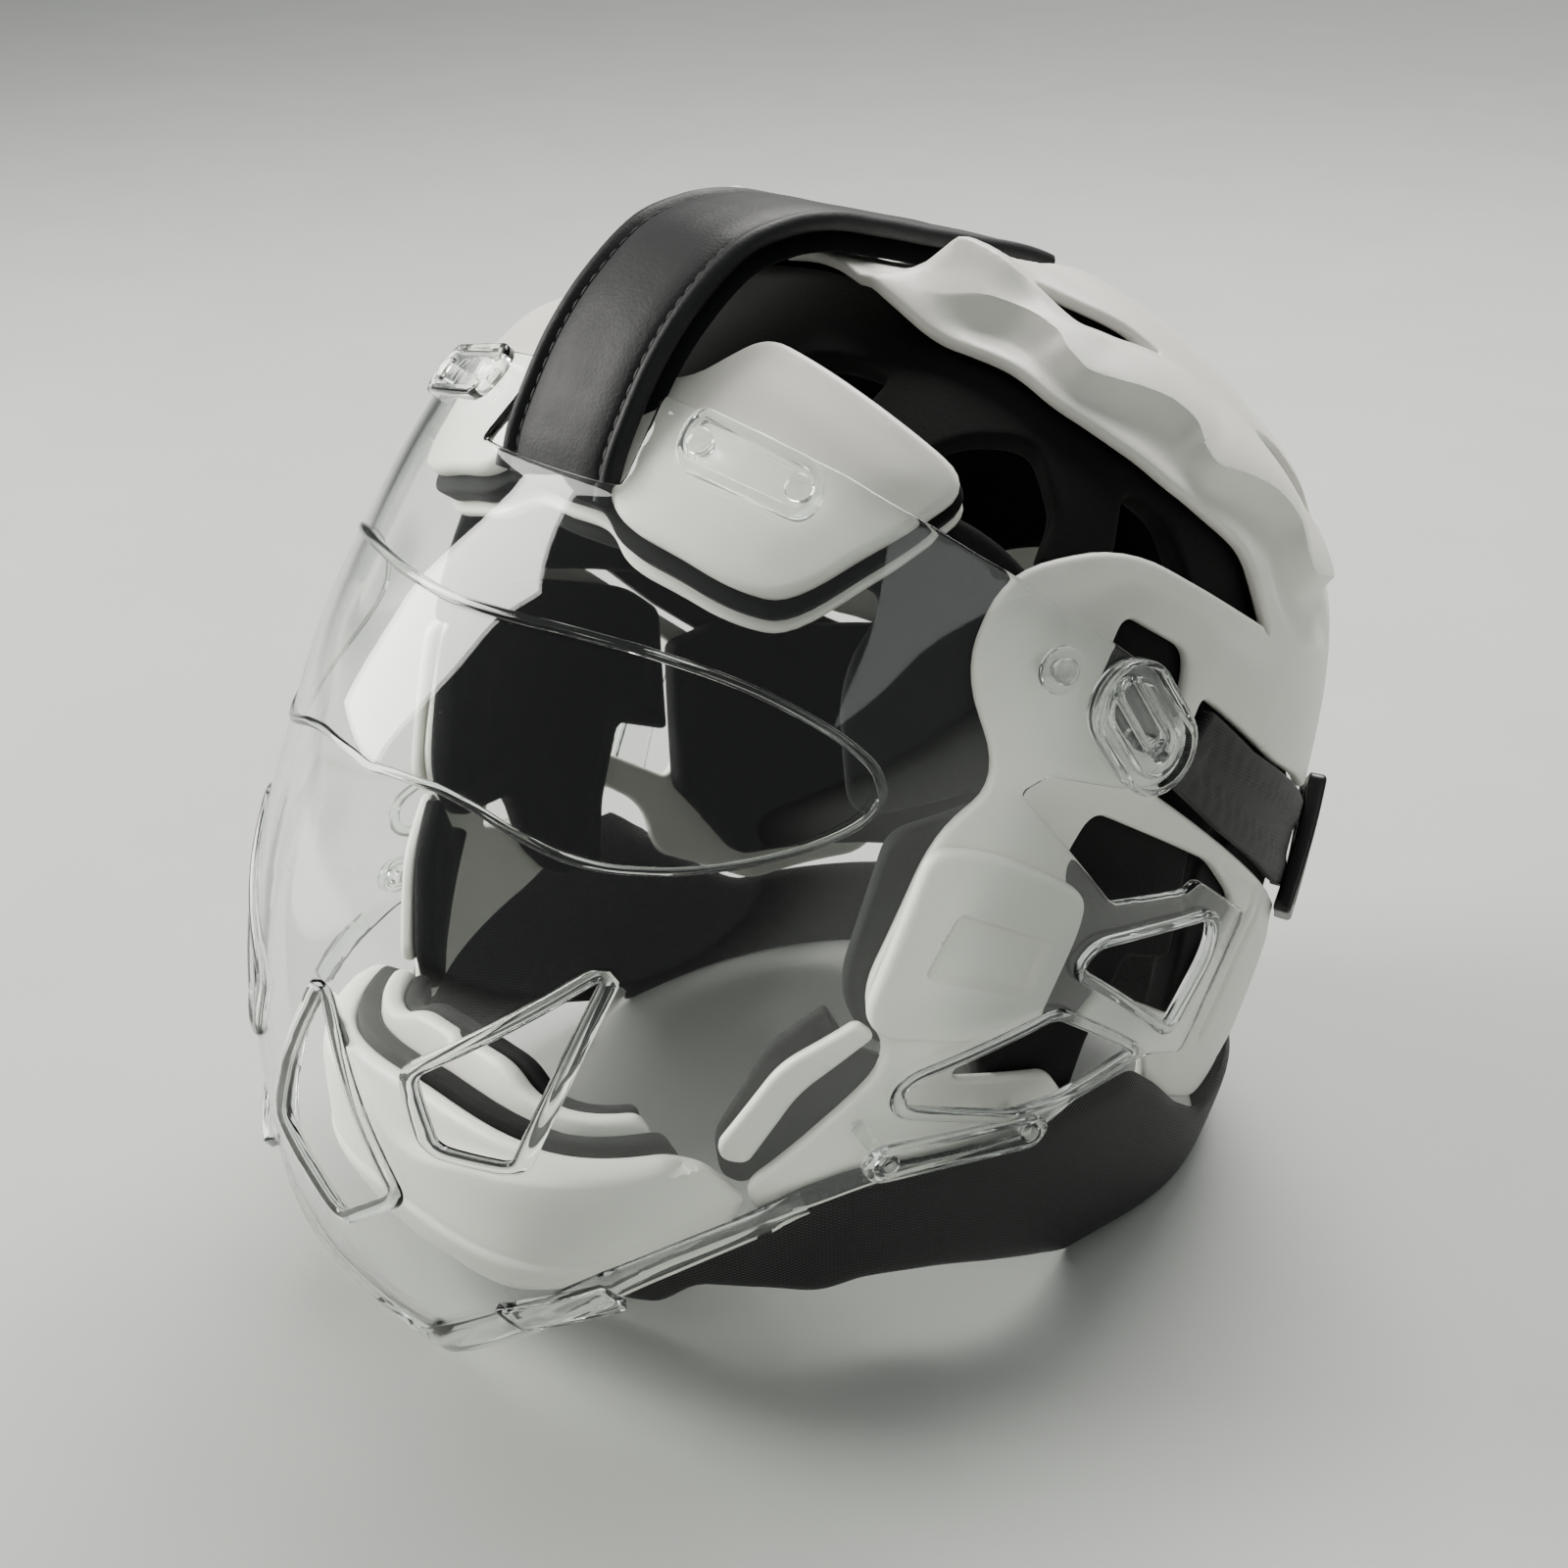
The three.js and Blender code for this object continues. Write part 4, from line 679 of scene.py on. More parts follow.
def swept(rings, closed=False):
    """Tube through rings of points (sections, around, 3), with flat ends unless it closes on itself."""
    sections, around = rings.shape[:2]
    points = rings.reshape(-1, 3)
    last = sections if closed else sections - 1
    here = np.arange(last)[:, None] * around + np.arange(around)[None]
    beside = np.arange(last)[:, None] * around + (np.arange(around)[None] + 1) % around
    ahead = (here + around) % len(points)
    ahead_beside = (beside + around) % len(points)
    faces = np.stack([here, beside, ahead_beside, ahead], -1).reshape(-1, 4).tolist()
    if not closed:
        faces.append(list(range(around))[::-1])
        faces.append(list(range(len(points) - around, len(points))))
    return points, faces


def together(*parts):
    """One set of points and faces from several."""
    points, faces, first = [], [], 0
    for part in parts:
        points.append(part[0])
        faces += [[index + first for index in face] for face in part[1]]
        first += len(part[0])
    return np.concatenate(points), faces


def stud(surface, x, y, profile, around=24):
    """Turned pin square to a mapped surface: its profile is rows of radius and depth, top first."""
    place = surface(np.array([x]), np.array([y]))[0]
    up = normals(surface, np.array([x]), np.array([y]))[0]
    across = np.cross(up, (0, 0, 1))
    across /= np.linalg.norm(across)
    over = np.cross(up, across)
    radius, depth = np.asarray(profile, float).T
    turn = np.arange(around) * 2 * math.pi / around
    ring = np.cos(turn)[:, None] * across + np.sin(turn)[:, None] * over
    rings = place + depth[:, None, None] * up + radius[:, None, None] * ring
    return swept(rings[::-1])


def flipped(part):
    """The same piece on the wearer's right, with its faces still pointing out."""
    points = part[0] * np.array([-1, 1, 1])
    return (points, [face[::-1] for face in part[1]], *part[2:])


def outwards(part):
    """Faces turned round where a closed piece's signed volume is negative."""
    points, faces = part[0], part[1]
    corners = np.array([face[:3] for face in faces])
    a, b, c = (points[corners[:, k]] for k in range(3))
    volume = np.sum(np.einsum("ij,ij->i", a, np.cross(b, c)))
    return part if volume > 0 else (points, [face[::-1] for face in faces], *part[2:])


def piece(name, part, finish, nodes, smooth_below=38):
    """Blender object from points in millimetres, smooth but for edges sharper than an angle.

    A part's third array is its flat map, which becomes UVs in metres.
    """
    material, slot = finish
    mesh = bpy.data.meshes.new(name)
    mesh.from_pydata((part[0] * MM).tolist(), [], part[1])
    mesh.update()
    mesh.shade_smooth()
    mesh.set_sharp_from_angle(angle=math.radians(smooth_below))
    if len(part) > 2:
        layer = mesh.uv_layers.new(name="Flat")
        corner = np.zeros(len(mesh.loops), np.int32)
        mesh.loops.foreach_get("vertex_index", corner)
        layer.data.foreach_set("uv", (part[2][corner] * MM).astype(np.float32).ravel())
    mesh.materials.append(material)
    made = bpy.data.objects.new(name, mesh)
    bpy.context.scene.collection.objects.link(made)
    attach(made, "root")
    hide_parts(*nodes)


def pair(name, part, finish, node):
    """The same piece on both sides."""
    piece(f"{name}_left", part, finish, [f"{node}_left"])
    piece(f"{name}_right", flipped(part), finish, [f"{node}_right"])


# Finishes


def linear(hex_colour):
    """Linear RGBA from an sRGB hex colour."""
    shares = [int(hex_colour[k:k + 2], 16) / 255 for k in (1, 3, 5)]
    return [s / 12.92 if s <= 0.04045 else ((s + 0.055) / 1.055) ** 2.4 for s in shares] + [1]


def add(tree, kind, inputs=None, **settings):
    """Add one shader node with its settings, and set or link each named input."""
    node = tree.nodes.new("ShaderNode" + kind)
    for name, value in settings.items():
        setattr(node, name, value)
    for name, value in (inputs or {}).items():
        if isinstance(value, bpy.types.NodeSocket):
            tree.links.new(value, node.inputs[name])
        else:
            node.inputs[name].default_value = value
    return node


def new_material(name, shader):
    """Material whose surface is the shader that shader(tree) builds."""
    material = bpy.data.materials.new(name)
    material.use_nodes = True
    tree = material.node_tree
    tree.nodes.clear()
    add(tree, "OutputMaterial", {"Surface": shader(tree).outputs[0]})
    return material


def per_size(millimetres):
    """Scale of a noise whose grains have this size."""
    return 1 / (millimetres * MM)


def satin_abs(tree):
    """Warm white ABS, injection moulded in a finely spark-eroded mould.

    The mould gives a soft satin gloss, a grain of about half a millimetre and slow drifts in gloss.
    """
    place = add(tree, "TexCoord").outputs["Object"]
    drift = add(tree, "TexNoise", {"Vector": place, "Scale": per_size(28), "Detail": 3.0})
    grain = add(tree, "TexNoise", {"Vector": place, "Scale": per_size(0.6), "Detail": 4.0})
    tint = add(tree, "ValToRGB", {"Fac": drift.outputs["Fac"]})
    tint.color_ramp.elements[0].color = linear("#e6e4dc")
    tint.color_ramp.elements[1].color = linear("#efede6")
    gloss = add(tree, "MapRange", {"Value": drift.outputs["Fac"], "To Min": 0.34, "To Max": 0.46})
    bump = add(tree, "Bump", {"Height": grain.outputs["Fac"], "Strength": 0.12, "Distance": 0.00006})
    return add(tree, "BsdfPrincipled", {
        "Base Color": tint.outputs["Color"],
        "Roughness": gloss.outputs["Result"],
        "Normal": bump.outputs["Normal"],
        "IOR": 1.53,
        "Subsurface Weight": 0.08,
        "Subsurface Radius": (0.003, 0.003, 0.0025),
    })


def clear_polycarbonate(tree):
    """Water-clear polycarbonate, moulded in a polished tool: glossy and strongly bending.

    A slow waviness stands for the flow in the mould, and lamps shine through without a shadow.
    """
    place = add(tree, "TexCoord").outputs["Object"]
    flow = add(tree, "TexNoise", {"Vector": place, "Scale": per_size(45), "Detail": 1.0})
    bump = add(tree, "Bump", {"Height": flow.outputs["Fac"], "Strength": 0.15, "Distance": 0.0004})
    glass = add(tree, "BsdfPrincipled", {
        "Base Color": linear("#fbfdfc"),
        "Roughness": 0.02,
        "IOR": 1.5,
        "Specular IOR Level": 0.28,
        "Transmission Weight": 1.0,
        "Normal": bump.outputs["Normal"],
    })
    open_to_lamps = add(tree, "BsdfTransparent", {"Color": linear("#f6f8f7")})
    ray = add(tree, "LightPath")
    return add(tree, "MixShader", {
        "Fac": ray.outputs["Is Shadow Ray"],
        1: glass.outputs[0],
        2: open_to_lamps.outputs[0],
    })


def skinned_foam(tree):
    """Black EVA foam with a moulded skin: matt, with fine closed cells and a faint bloom on its curves."""
    place = add(tree, "TexCoord").outputs["Object"]
    cells = add(tree, "TexVoronoi", {"Vector": place, "Scale": per_size(1.1)})
    wear = add(tree, "TexNoise", {"Vector": place, "Scale": per_size(16), "Detail": 5.0})
    tint = add(tree, "ValToRGB", {"Fac": wear.outputs["Fac"]})
    tint.color_ramp.elements[0].color = linear("#070808")
    tint.color_ramp.elements[1].color = linear("#0f1010")
    bump = add(tree, "Bump", {"Height": cells.outputs["Distance"], "Strength": 0.25, "Distance": 0.0002})
    return add(tree, "BsdfPrincipled", {
        "Base Color": tint.outputs["Color"],
        "Roughness": 0.8,
        "Specular IOR Level": 0.18,
        "Sheen Weight": 0.04,
        "Normal": bump.outputs["Normal"],
    })


def leatherette(tree):
    """Black polyurethane leatherette over foam: embossed pebble grain of about a millimetre, satin."""
    place = add(tree, "TexCoord").outputs["Object"]
    pebble = add(tree, "TexVoronoi", {"Vector": place, "Scale": per_size(0.9)})
    fold = add(tree, "TexNoise", {"Vector": place, "Scale": per_size(7), "Detail": 4.0})
    gloss = add(tree, "MapRange", {"Value": fold.outputs["Fac"], "To Min": 0.5, "To Max": 0.64})
    fine = add(tree, "Bump", {"Height": pebble.outputs["Distance"], "Strength": 0.3, "Distance": 0.00015})
    soft = add(tree, "Bump", {
        "Height": fold.outputs["Fac"],
        "Strength": 0.25,
        "Distance": 0.0006,
        "Normal": fine.outputs["Normal"],
    })
    return add(tree, "BsdfPrincipled", {
        "Base Color": linear("#101114"),
        "Specular IOR Level": 0.35,
        "Roughness": gloss.outputs["Result"],
        "Normal": soft.outputs["Normal"],
    })


# Webbing: pitch of its threads in millimetres, and how much closer they lie on each axis
THREAD_PITCH = 1.6
THREAD_STRETCH = (("X", 1), ("Y", 1.7))


def woven_polyester(tree):
    """Elastic polyester webbing: its threads cross at a pitch drawn coarser than real, so that they show.

    The height is the product of two sines, along and across the band, read from the flat map. The colour
    follows the same height, darker in the dips and lighter on the crests: painted shade between the
    threads.
    """
    spot = add(tree, "UVMap", uv_map="Flat").outputs["UV"]
    parts = add(tree, "SeparateXYZ", {"Vector": spot})
    waves = []
    for axis, stretch in THREAD_STRETCH:
        turns_per_metre = 2 * math.pi * stretch / (THREAD_PITCH * MM)
        turns = add(tree, "Math", {0: parts.outputs[axis], 1: turns_per_metre}, operation="MULTIPLY")
        waves.append(add(tree, "Math", {0: turns.outputs[0]}, operation="SINE").outputs[0])
    weave = add(tree, "Math", {0: waves[0], 1: waves[1]}, operation="MULTIPLY")
    # Painted shade: the colour darkens in the weave's dips and lightens on its crests
    tint = add(tree, "MapRange", {"Value": weave.outputs[0], "From Min": -1.0})
    painted_weave_shade = add(tree, "Mix", {
        "Factor": tint.outputs["Result"],
        6: linear("#040405"),
        7: linear("#101113"),
    }, data_type="RGBA")
    bump = add(tree, "Bump", {"Height": weave.outputs[0], "Strength": 0.5, "Distance": 0.00025})
    return add(tree, "BsdfPrincipled", {
        "Base Color": painted_weave_shade.outputs[2],
        "Roughness": 0.62,
        "Sheen Weight": 0.08,
        "Normal": bump.outputs["Normal"],
    })


def moulded_acetal(tree):
    """Black acetal, injection moulded: a low gloss that drifts with its fine grain."""
    place = add(tree, "TexCoord").outputs["Object"]
    grain = add(tree, "TexNoise", {"Vector": place, "Scale": per_size(0.7), "Detail": 3.0})
    gloss = add(tree, "MapRange", {"Value": grain.outputs["Fac"], "To Min": 0.26, "To Max": 0.4})
    bump = add(tree, "Bump", {"Height": grain.outputs["Fac"], "Strength": 0.2, "Distance": 0.00008})
    return add(tree, "BsdfPrincipled", {
        "Base Color": linear("#0b0b0c"),
        "Roughness": gloss.outputs["Result"],
        "Normal": bump.outputs["Normal"],
    })


def studio_floor(tree):
    """Pale matt studio floor with a barely seen mottle."""
    place = add(tree, "TexCoord").outputs["Object"]
    mottle = add(tree, "TexNoise", {"Vector": place, "Scale": per_size(90), "Detail": 4.0})
    tint = add(tree, "ValToRGB", {"Fac": mottle.outputs["Fac"]})
    tint.color_ramp.elements[0].color = linear("#b4b7b3")
    tint.color_ramp.elements[1].color = linear("#bec0bc")
    return add(tree, "BsdfPrincipled", {"Base Color": tint.outputs["Color"], "Roughness": 0.75})


# Each finish is a material and its slot
WHITE = new_material("abs_satin_moulded_white", satin_abs), "white_plastic"
CLEAR = new_material("polycarbonate_polished_clear", clear_polycarbonate), "clear_plastic"
FOAM = new_material("eva_foam_skinned_black", skinned_foam), "black_foam"
LEATHER = new_material("pu_leatherette_grained_black", leatherette), "black_leather"
WEBBING = new_material("polyester_webbing_woven_black", woven_polyester), "black_webbing"
ACETAL = new_material("acetal_moulded_black", moulded_acetal), "black_plastic"


# White shell


def along_crown(rows, v):
    """Second column of a table in percent, read at a place along the middle of the crown."""
    return percent(smooth(rows, 1, 100 * np.asarray(v) / HEIGHT))


def rising(distance, start, reach):
    """Ease from 0 at a start to 1 after a further reach."""
    return ease((distance - start) / reach)


def crown_relief(u, v):
    """The strap's channel along the middle of the crown, and a raised lobe on each side of it."""
    beyond = np.abs(u) - TOP_STRAP_WIDTH / 2 - CHANNEL_SIDE
    last = percent(STRAP_CHANNEL[-1][0])
    fade = 1 - ease((v - last) / (percent(CHANNEL_END) - last))
    arch = ease((v - percent(ARCH_FOOT)) / percent(ARCH_TOP - ARCH_FOOT))
    channel = (along_crown(STRAP_CHANNEL, v) - TOP_STRAP_WALL - CHANNEL_ROOM) * fade * arch
    away = ease(beyond / percent(CHANNEL_SLOPE))
    lobe = along_crown(LOBE, v) * arch * away * (1 - ease(beyond / percent(LOBE_WIDTH)))
    return channel * (1 - away) + lobe


def rounded_line(rows, step=1.5):
    """Smooth open line through points: cubic through each coordinate over the running length."""
    points = np.asarray(rows, float)
    run = np.concatenate([[0], np.cumsum(np.linalg.norm(np.diff(points, axis=0), axis=1))])
    table = np.column_stack([run, points])
    at = np.arange(0, run[-1], step)
    return np.column_stack([smooth(table, 1, at), smooth(table, 2, at)])


# Each ridge: height, foot and back in millimetres, then the fade of its ends and the trough as shares
UPPER_CREST = dict(height=2.6, foot=6.5, back=14, fade=0.42, trough=0.3)
LOWER_CREST = dict(height=4.4, foot=7.5, back=30, fade=0.08, trough=0.35)
# Width of the trough in feet, and how near a point counts as on the seam
TROUGH_REACH = 2.4
SEAM_NEAR = 0.05


def crest(line, height, foot, back, fade, trough):
    """Relief of a ridge along an open line, with its foot on the line's right.

    On the right the face climbs as (1 - d/foot)^2 out of a shallow trough to a crisp crest at the line; on
    the left it sinks back over a longer way. The height fades in over both ends of the line.
    """
    def relief(x, y):
        distance, turn, along = nearest(np.column_stack([x, y]), line[:-1], line[1:])
        share = along / (len(line) - 1)
        ends = ease(share / fade) * ease((1 - share) / fade)
        dip = np.sin(math.pi * np.clip((distance - 1) / (TROUGH_REACH * foot), 0, 1))
        climb = np.clip(1 - distance / foot, 0, 1) ** 2 - trough * dip
        return height * ends * np.where(turn < 0, climb, 1 - ease(distance / back))
    return relief


def crown_shell():
    """White crown with the strap's channel, the lobes and two scalloped ridges on each side."""
    angle = math.radians(SEAM_ANGLE)
    seam = []
    for level in (SIDE_FRAME[0][1], SIDE_FRAME[-1][1]):
        radius = CROWN_RADIUS * math.acos((percent(level) - CROWN_SPRING) / (CROWN_TOP - CROWN_SPRING))
        seam.append((radius * math.sin(angle), -radius * math.cos(angle), 0))
    half = np.concatenate([percent(CROWN_FRONT_EDGE), seam, percent(CROWN_REAR_EDGE)])
    ridges = [
        crest(rounded_line(UPPER_RIDGE), **UPPER_CREST),
        crest(rounded_line(LOWER_RIDGE), **LOWER_CREST),
    ]

    def relief(u, v, distance):
        lift = sum(ridge(np.abs(u), v) for ridge in ridges)
        return crown_relief(u, v) + lift * rising(distance, start=1, reach=8)

    def on_seam(points):
        turned = np.degrees(np.arctan2(np.abs(points[:, 0]), -points[:, 1]))
        return np.abs(turned - SEAM_ANGLE) < SEAM_NEAR

    vents = [traced(percent(rows), 1.6) for rows in (CROWN_VENT, REAR_VENT)]
    lines = [rounded_line(rows, 1.2) for rows in (UPPER_RIDGE, LOWER_RIDGE)]
    return plate(crown, traced(mirrored(half), 2), 0, SHELL_WALL, rounding=1.4, under=1, grain=2.1,
                 holes=vents + [to_right(vent) for vent in vents], relief=relief,
                 hollow=lambda u, v, distance: crown_relief(u, v), seam=on_seam,
                 creases=lines + [to_right(line) for line in lines])


def groove(line, depth, width):
    """Relief of a rounded groove along an open line."""
    def relief(x, y):
        distance = nearest(np.column_stack([x, y]), line[:-1], line[1:])[0]
        return -depth * (1 - ease(distance / width))
    return relief


def side_frame():
    """White side frame: an openwork plate round the ear, with two grooves down its rear column."""
    lines = [rounded_line(side(rows)) for rows in COLUMN_GROOVES]
    grooves = [groove(line, depth=1.1, width=2.2) for line in lines]

    def relief(x, y, distance):
        cuts = sum(cut(x, y) for cut in grooves) * ease(distance / 2)
        return cuts + SIDE_FRAME_SWELL * rising(distance, start=2, reach=9)

    def on_seam(points):
        return np.abs(points[:, 0] - SEAM_ANGLE * MM_PER_DEGREE) < SEAM_NEAR

    return plate(shell_side, traced(side(SIDE_FRAME), 2), 0, SHELL_WALL, rounding=1.5, under=1, grain=2.4,
                 holes=[traced(side(PIVOT_HOLE), 1.6)], relief=relief, seam=on_seam, creases=lines)


def step_inside(loop, height, width):
    """Relief that rises by a height across a closed line, over a width on its inside."""
    starts, ends = segments([loop])

    def relief(x, y):
        points = np.column_stack([x, y])
        distance = nearest(points, starts, ends)[0]
        return height * np.where(inside(points, [loop]), ease(distance / width), 0)
    return relief


def cheek_plate():
    """White cheek plate with a shallow plain panel pressed into it."""
    panel = traced(side(CHEEK_PANEL), 1.5)
    pressed = step_inside(panel, height=-1.9, width=1.3)

    def relief(x, y, distance):
        return pressed(x, y) + CHEEK_PLATE_SWELL * rising(distance, start=2, reach=10)

    return plate(shell_side, traced(side(CHEEK_PLATE), 1.8), CHEEK_PLATE_FACE, CHEEK_PLATE_WALL,
                 rounding=2.1, under=0.6, grain=1.9, relief=relief, creases=[panel])


def forehead_layer(face, wall, show, rounding, under, swell=0):
    """One layer of the forehead guard, grown past the plate and shifted to the front."""
    corners = grown(mirrored(percent(FOREHEAD_HALF)), show)
    corners[:, 1] -= show
    return plate(crown, traced(corners, 2), face, wall, rounding, under, grain=2.6,
                 relief=lambda u, v, distance: swell * rising(distance, start=1.5, reach=14))


def chin_bumper():
    """White chin bumper: stepped across its face, with a low panel under the step."""
    step_line = rounded_line(side(BUMPER_STEP))
    panel = traced(mirrored(side(BUMPER_PANEL_HALF)), 1.5)
    raised = step_inside(panel, height=1.1, width=2)

    def relief(x, y, distance):
        off, turn, _ = nearest(np.column_stack([x, y]), step_line[:-1], step_line[1:])
        ledge = np.where(turn > 0, -BUMPER_LEDGE * ease(off / 5), 0)
        return ledge + raised(x, y) + BUMPER_SWELL * rising(distance, start=2, reach=8)

    return plate(jaw_side, traced(mirrored(side(BUMPER_HALF)), 1.8), 0, BUMPER_WALL, rounding=2.6,
                 under=1.2, grain=1.9, relief=relief, creases=[panel, step_line])


def chin_layer(rows, face, wall, rounding):
    """One layer behind the chin bumper, on the jaw skin."""
    return plate(jaw_side, traced(mirrored(side(rows)), 1.8), face, wall, rounding, rounding, grain=2.6)


def jaw_rail():
    """White rail along the jaw, behind the end of the chin bumper."""
    return plate(shell_side, traced(side(JAW_RAIL), 1.8), JAW_RAIL_FACE, JAW_RAIL_WALL, rounding=1.3,
                 under=0.8, grain=2)


def lining(rows, wall, pillow=1.8, middle=None):
    """Foam lining pad, pillowed towards the head."""
    corners = side(rows) if middle is None else mirrored(side(rows), middle)
    return plate(shell_side, traced(corners, 2.2), LINER_FACE, wall, rounding=1.6, under=2.8, grain=3,
                 hollow=lambda x, y, distance: pillow - pillow * rising(distance, start=2, reach=10))


def crown_liner():
    """Foam crown lining, cut into fingers at the front and following the strap's channel."""
    def follow(u, v, distance):
        return np.minimum(crown_relief(CHANNEL_EASE * u, v), 0)

    return plate(crown, traced(mirrored(percent(CROWN_LINER_HALF)), 2.2), CROWN_LINER_FACE, LINER_WALL,
                 rounding=1.6, under=2.8, grain=3, relief=follow, hollow=follow)


# Face shield

# Sections of the shield's ribs: distance inwards from the line, and depth
LENS_RIB = [(0.95, -0.15), (0.85, 0.3), (0.5, 0.6), (0, 0.7), (-0.5, 0.6), (-0.85, 0.3), (-0.95, -0.15)]
WINDOW_LIP = [
    (0.3, -0.9), (0.45, 0.1), (0.25, 0.8), (-0.3, 1.25),
    (-1.1, 1.35), (-1.9, 1.1), (-2.4, 0.5), (-2.5, -0.15),
]
# Section of the rim's bead: rise from the edge, and depth over a foot that is sunk in the sheet
RIM_ROUND = [
    (-0.2, 1.045), (-0.9, 1.815), (-0.4, 2.53), (1.4, 2.86),
    (3.4, 2.75), (5, 2.145), (5.7, 1.32), (5.7, 1.045),
]
RIM_SUNK = 0.4
# Its depth at both ends as a share, and the share of its length over which it gets there
RIM_THIN = 0.25
RIM_FADE = 0.04


def bead(line, section):
    """Rib along a closed line of the shield: its section is carried round square to the line."""
    x, y = line.T
    turn = np.sign(np.sum(x * np.roll(y, -1) - np.roll(x, -1) * y))
    way = np.roll(line, -1, 0) - np.roll(line, 1, 0)
    way *= turn / np.linalg.norm(way, axis=1, keepdims=True)
    across, depth = np.asarray(section, float).T
    x = x[:, None] - way[:, 1, None] * across
    y = y[:, None] + way[:, 0, None] * across
    return outwards(swept(lifted(shield_side, x, y, np.tile(depth, (len(line), 1))), closed=True))


def rim_tab(way):
    """Low tab on the rim beside the chin, on the wearer's left where way is 1 and on the right at -1."""
    x, y = spot_of(RIM_TAB)
    corners = turned_box((way * x, y), RIM_TAB_SIZE, way * RIM_TAB_TURN, corner_ease=1)
    return plate(shield_side, traced(corners, 1.4), RIM_TAB_FACE, RIM_TAB_WALL, rounding=0.7, under=0.3,
                 grain=1.6)


def shield_rim():
    """Bead along the shield's lower edge: a rounded profile of rise and depth carried along the edge."""
    half = side(RIM_HALF)
    whole = np.concatenate([half[:-1], to_right(half)[::-1]])
    line = rounded_line(whole[::-1], 2.2)
    way = np.gradient(line, axis=0)
    way /= np.linalg.norm(way, axis=1, keepdims=True)
    up = np.column_stack([-way[:, 1], way[:, 0]])
    up *= np.sign(up[:, 1:])
    rise, proud = np.array(RIM_ROUND).T
    share = np.linspace(0, 1, len(line))
    ends = ease(np.minimum(share, share[::-1]) / RIM_FADE)
    x = line[:, 0, None] + up[:, 0, None] * rise
    y = line[:, 1, None] + up[:, 1, None] * rise
    depth = proud * (RIM_THIN + (1 - RIM_THIN) * ends[:, None])
    rings = lifted(shield_side, x, y, depth - RIM_SUNK)
    rings[..., 2] = np.maximum(rings[..., 2], FLOOR_CLEARANCE)
    return outwards(swept(rings))


def face_shield():
    """Clear moulding: a low rib draws the lens, lips frame the windows and a bead follows the chin."""
    vents = [traced(side(rows), 1.4) for rows in (WING_WINDOW, LOWER_WINDOW, MOUTH_VENT)]
    vents += [to_right(vent) for vent in vents]
    vents.append(traced(side(KITE_VENT), 1.4))
    half = side(LENS_HALF)
    lens = rounded_line(np.concatenate([half, to_right(half)[-2::-1]]), 1.6)
    sheet = plate(shield_side, traced(mirrored(side(SHIELD_HALF_OUTLINE)), 2), 0, SHIELD_WALL,
                  rounding=0.9, under=0.9, grain=3.4, holes=vents)
    ribs = [bead(vent, WINDOW_LIP) for vent in vents]
    return together(sheet, bead(lens, LENS_RIB), *ribs, rim_tab(-1), rim_tab(1), shield_rim())


def shell_depth(x, y, farthest=60.0, close=0.05):
    """How far inwards from a point of the shield skin the shell skin lies, by halving the way."""
    near, far = 0.0, farthest
    while far - near > close:
        middle = (near + far) / 2
        point = lifted(shield_side, np.array([x]), np.array([y]), np.array([-middle]))[0]
        across, along = point[0], SECTION_Y - point[1]
        edge = skin_point(SHELL, math.degrees(math.atan2(across, along)), point[2])
        outside = math.hypot(across, along) > math.hypot(edge[0], SECTION_Y - edge[1])
        near, far = (middle, far) if outside else (near, middle)
    return near


def pin(x, y, radius, top, foot):
    """Clear snap pin: a domed head, a waist and a straight shank down to a foot over the shell skin.

    The dome is half as high as the pin's radius, the waist 0.8 of it below the top, and the shank 0.7 of
    it wide, with a small bevel at both ends.
    """
    end = foot - shell_depth(x, y)
    dome = [(radius * math.cos(t), top - radius * 0.5 * (1 - math.sin(t))) for t in np.linspace(1.5, 0, 7)]
    waist, shank = top - radius * 0.8, radius * 0.7
    profile = dome + [(radius, waist + 0.3), (shank, waist), (shank, end + 0.3), (radius * 0.6, end)]
    return stud(shield_side, x, y, profile)


def slotted_head(start, end, radius, bar, top, wall):
    """Clear ring with round ends that frames a slot."""
    return plate(shield_side, pill(start, end, radius), top, wall, rounding=0.7, under=0.3, grain=2,
                 holes=[pill(start, end, radius - bar)])


def forehead_clip():
    """Slotted clip on the forehead: a long ring and two pins down to the white plate."""
    ends = [spot_of(row) for row in FOREHEAD_PINS]
    pins = [pin(x, y, radius=3.2, top=4, foot=FOREHEAD_PLATE_FACE + PIN_SUNK) for x, y in ends]
    return together(slotted_head(*ends, radius=5.4, bar=1.9, top=3.2, wall=3.2), *pins)


def temple_pin():
    """Single snap pin at the temple, with a round flange."""
    x, y = spot_of(TEMPLE_PIN)
    flange = plate(shield_side, circle(x, y, radius=5.2), outer=1.8, wall=1.8, rounding=0.8, under=0.2,
                   grain=1.6)
    return together(flange, pin(x, y, radius=3, top=4, foot=PIN_SUNK))


def pivot_pin():
    """Pivot at the ear: a wide oval cap with a ring, a slotted bar, and a pin behind it."""
    ends = [spot_of(row) for row in PIVOT_HEAD]
    slot = [spot_of(row) for row in PIVOT_SLOT]
    outer_ring = slotted_head(*ends, radius=10.4, bar=1.6, top=4, wall=4)
    inner_ring = slotted_head(*ends, radius=6.6, bar=1.3, top=3.2, wall=3.2)
    cap = plate(shield_side, pill(*ends, radius=9.4), outer=1.4, wall=1.1, rounding=0.4, under=0.3,
                grain=2.4)
    bar = slotted_head(*slot, radius=3.2, bar=1, top=4.6, wall=3)
    through = pin(*ends[1], radius=2.8, top=4.6, foot=-PIVOT_THROUGH)
    return together(outer_ring, inner_ring, cap, bar, through)


